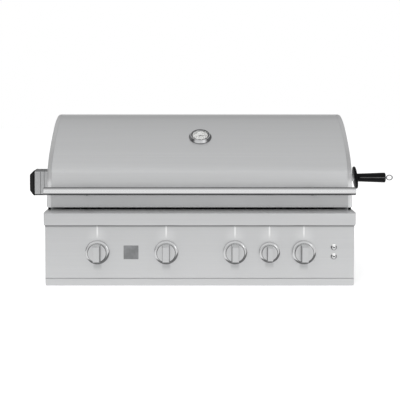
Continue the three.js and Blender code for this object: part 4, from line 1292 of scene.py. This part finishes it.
def makeBurner(i):
    _, high, (x, y, z) = span(f"burner_{i}")
    spread, leg, radius, mouth, neck = (burner[key] for key in ("spread", "leg", "radius", "mouth", "neck"))
    bend = burner.rear - spread
    stops = [(0, mouth), (0, (mouth + neck) / 2), (0, neck), (-spread, leg), (-spread, bend),
             (0, burner.rear), (spread, bend), (spread, leg)]
    route = smoothRoute([Vector((x + a, frontY + b, z)) for a, b in stops], burner.samples)
    tube = tubeAlong(route, radius, burner.sides)
    # painted shade: black stubs on the tube stand for the dark inside of the ports
    ports = []
    for side in (-spread, spread):
        for k in range(int((bend - leg) / burner.portPitch)):
            y = frontY + leg + (k + 0.5) * burner.portPitch
            for lean in (-burner.portLean, burner.portLean):
                away = Vector((sin(radians(lean)), 0, cos(radians(lean))))
                foot = Vector((x + side, y, z)) + away * (radius - burner.portSunk)
                ports.append(rodOf(foot, foot + away * burner.portDeep, burner.portRadius, 8))
    holes = joined(*ports)
    paintFaces(holes, lambda f, c: 1)
    pin = rodOf((x, frontY + burner.rear, z), (x, high.y, z), burner.pinRadius, 16)
    finishPiece(f"burnerTube{i}", joined(tube, holes, pin), "millSteel", "firebox", f"burner_{i}",
                extra=["blackAndShadeFill"])


def makeGrate(i):
    low, high, centre = span(f"cooking_grate_{i}")
    bar, rodZ = grate.bar, high.z - grate.rod
    pieces = [boxOf((low.x, a - bar, low.z), (high.x, a + bar, low.z + 2 * bar))
              for a in (low.y + grate.barInset, centre.y, high.y - grate.barInset)]
    for k in range(grate.rods):
        rodX = centre.x + (k - (grate.rods - 1) / 2) * grate.pitch
        rod = rodOf((rodX, low.y, rodZ), (rodX, high.y, rodZ), grate.rod, 20)
        roundEdges(rod, edgesWhere(rod, lambda a, b: abs(a.y - b.y) < 1e-6), grate.rodRound, 2)
        pieces.append(rod)
    finishPiece(f"cookingGrate{i}", joined(*pieces), "grateSteel", "firebox", f"cooking_grate_{i}",
                sharp=40)


dressCarried()
for i in range(1, 5):
    makeBurner(i)
    makeGrate(i)
print("firebox pieces made")


# Floor, white surroundings, lamps, and cards that only the metal reflects

studio = Values(
    worldLight=0.62, floorSize=16, floorLow=-0.0002, floorWhite=0.90, floorLift=0.52,
    mirrorNear=(0.1, 1.05, 1.08, 0.92), mirrorFar=(1.15, 1.5, 0, 0.10), lampsAimAt=(0, 0, 0.25),
)
lights = {  # place, size, power
    "keyLight": ((-1.2, -2.6, 3.2), 2.4, 60),
    "fillLight": ((1.0, -3.3, 1.6), 1.6, 8),
}
cards = {  # centre, what it faces, width, height, brightness
    "ceiling": ((0, 0.0, 3.4), (0, 0, 0.3), 12.0, 8.0, 0.74),
    "rearWall": ((0, 4.5, 2.6), (0, 0, 0.6), 12.0, 2.8, 0.49),
    "rearLow": ((0, 4.5, 0.6), (0, 0, 0.6), 12.0, 1.2, 0.20),
    "frontWall": ((0, -5.0, 2.2), (0, 0, 0.6), 12.0, 2.4, 0.92),
    "frontLow": ((0, -5.2, 0.75), (0, 0, 0.5), 12.0, 1.1, 0.72),
    "leftFlag": ((-2.5, -0.8, 0.6), (0, -0.2, 0.2), 1.8, 1.5, 0.20),
    "sideSoftbox": ((1.46, -2.4, 0.65), (0, -0.2, 0.15), 0.5, 0.7, 2.2),
}


def emptyTree(holder):
    holder.use_nodes = True
    holder.node_tree.nodes.clear()
    return holder.node_tree


def addShader(tree, kind, values=None):
    return addNode(tree, kind, values).outputs[0]


def flatPiece(name, width, height, place):
    # A staged sheet with a node tree of its own, still empty
    bm = bmesh.new()
    ops.create_grid(bm, x_segments=1, y_segments=1, size=0.5)
    ops.scale(bm, vec=(width, height, 1), verts=bm.verts)
    ops.transform(bm, matrix=place, verts=bm.verts)
    piece = placed(name, meshOf(name, bm))
    look = bpy.data.materials.new(name)
    piece.data.materials.append(look)
    return piece, emptyTree(look)


def makeWorld():
    world = bpy.data.worlds.new("studioWorld")
    bpy.context.scene.world = world
    tree = emptyTree(world)
    path = addNode(tree, "LightPath").outputs
    seen = addMath("MAXIMUM", path["Is Camera Ray"], path["Is Glossy Ray"])
    seen = addMath("MAXIMUM", seen, path["Is Transmission Ray"])
    lighting = addShader(tree, "Background", {"Color": (1, 1, 1, 1), "Strength": studio.worldLight})
    white = addShader(tree, "Background", {"Color": (1, 1, 1, 1)})
    mix = addShader(tree, "MixShader", {0: seen, 1: lighting, 2: white})
    addNode(tree, "OutputWorld", {"Surface": mix})


def makeFloor():
    # Lit by the lamps, lifted to white for the camera, and a plain gradient in the metal's reflections
    size = studio.floorSize
    _, tree = flatPiece("studioFloor", size, size, Matrix.Translation((0, 0, studio.floorLow)))
    path = addNode(tree, "LightPath").outputs
    seen = addMath("MAXIMUM", path["Is Glossy Ray"], path["Is Transmission Ray"])
    paint = addShader(tree, "BsdfDiffuse", {"Color": (*(studio.floorWhite,) * 3, 1)})
    lift = addShader(tree, "Emission", {"Strength": studio.floorLift})
    both = addShader(tree, "AddShader", {0: paint, 1: lift})
    before = minus(frontY, split(objectPlace(tree))["Y"])
    near = rangeOf(before, *studio.mirrorNear, "LINEAR")
    far = rangeOf(before, *studio.mirrorFar, "LINEAR")
    plain = addShader(tree, "Emission", {"Strength": plus(near, far)})
    shown = addShader(tree, "MixShader", {0: path["Is Camera Ray"], 1: paint, 2: both})
    mirrored = addShader(tree, "MixShader", {0: seen, 1: shown, 2: plain})
    addNode(tree, "OutputMaterial", {"Surface": mirrored})


def makeLight(name, place, size, power):
    light = placed(name, setAll(bpy.data.lights.new(name, "AREA"), size=size, energy=power))
    light.location = place
    aim = Vector(studio.lampsAimAt) - Vector(place)
    light.rotation_euler = aim.to_track_quat("-Z", "Y").to_euler()
    light.visible_glossy = False


def makeCard(name, centre, facing, wide, high, bright):
    turn = (Vector(facing) - Vector(centre)).to_track_quat("-Z", "Y").to_matrix().to_4x4()
    card, tree = flatPiece(name, wide, high, Matrix.Translation(centre) @ turn)
    glow = addShader(tree, "Emission", {"Strength": bright})
    addNode(tree, "OutputMaterial", {"Surface": glow})
    setAll(card, visible_camera=False, visible_diffuse=False, visible_transmission=False,
           visible_shadow=False)


makeWorld()
makeFloor()
for name, values in lights.items():
    makeLight(name, *values)
for name, values in cards.items():
    makeCard(f"{name}Card", *values)
bpy.context.scene.view_settings.view_transform = "Standard"
print("studio ready")
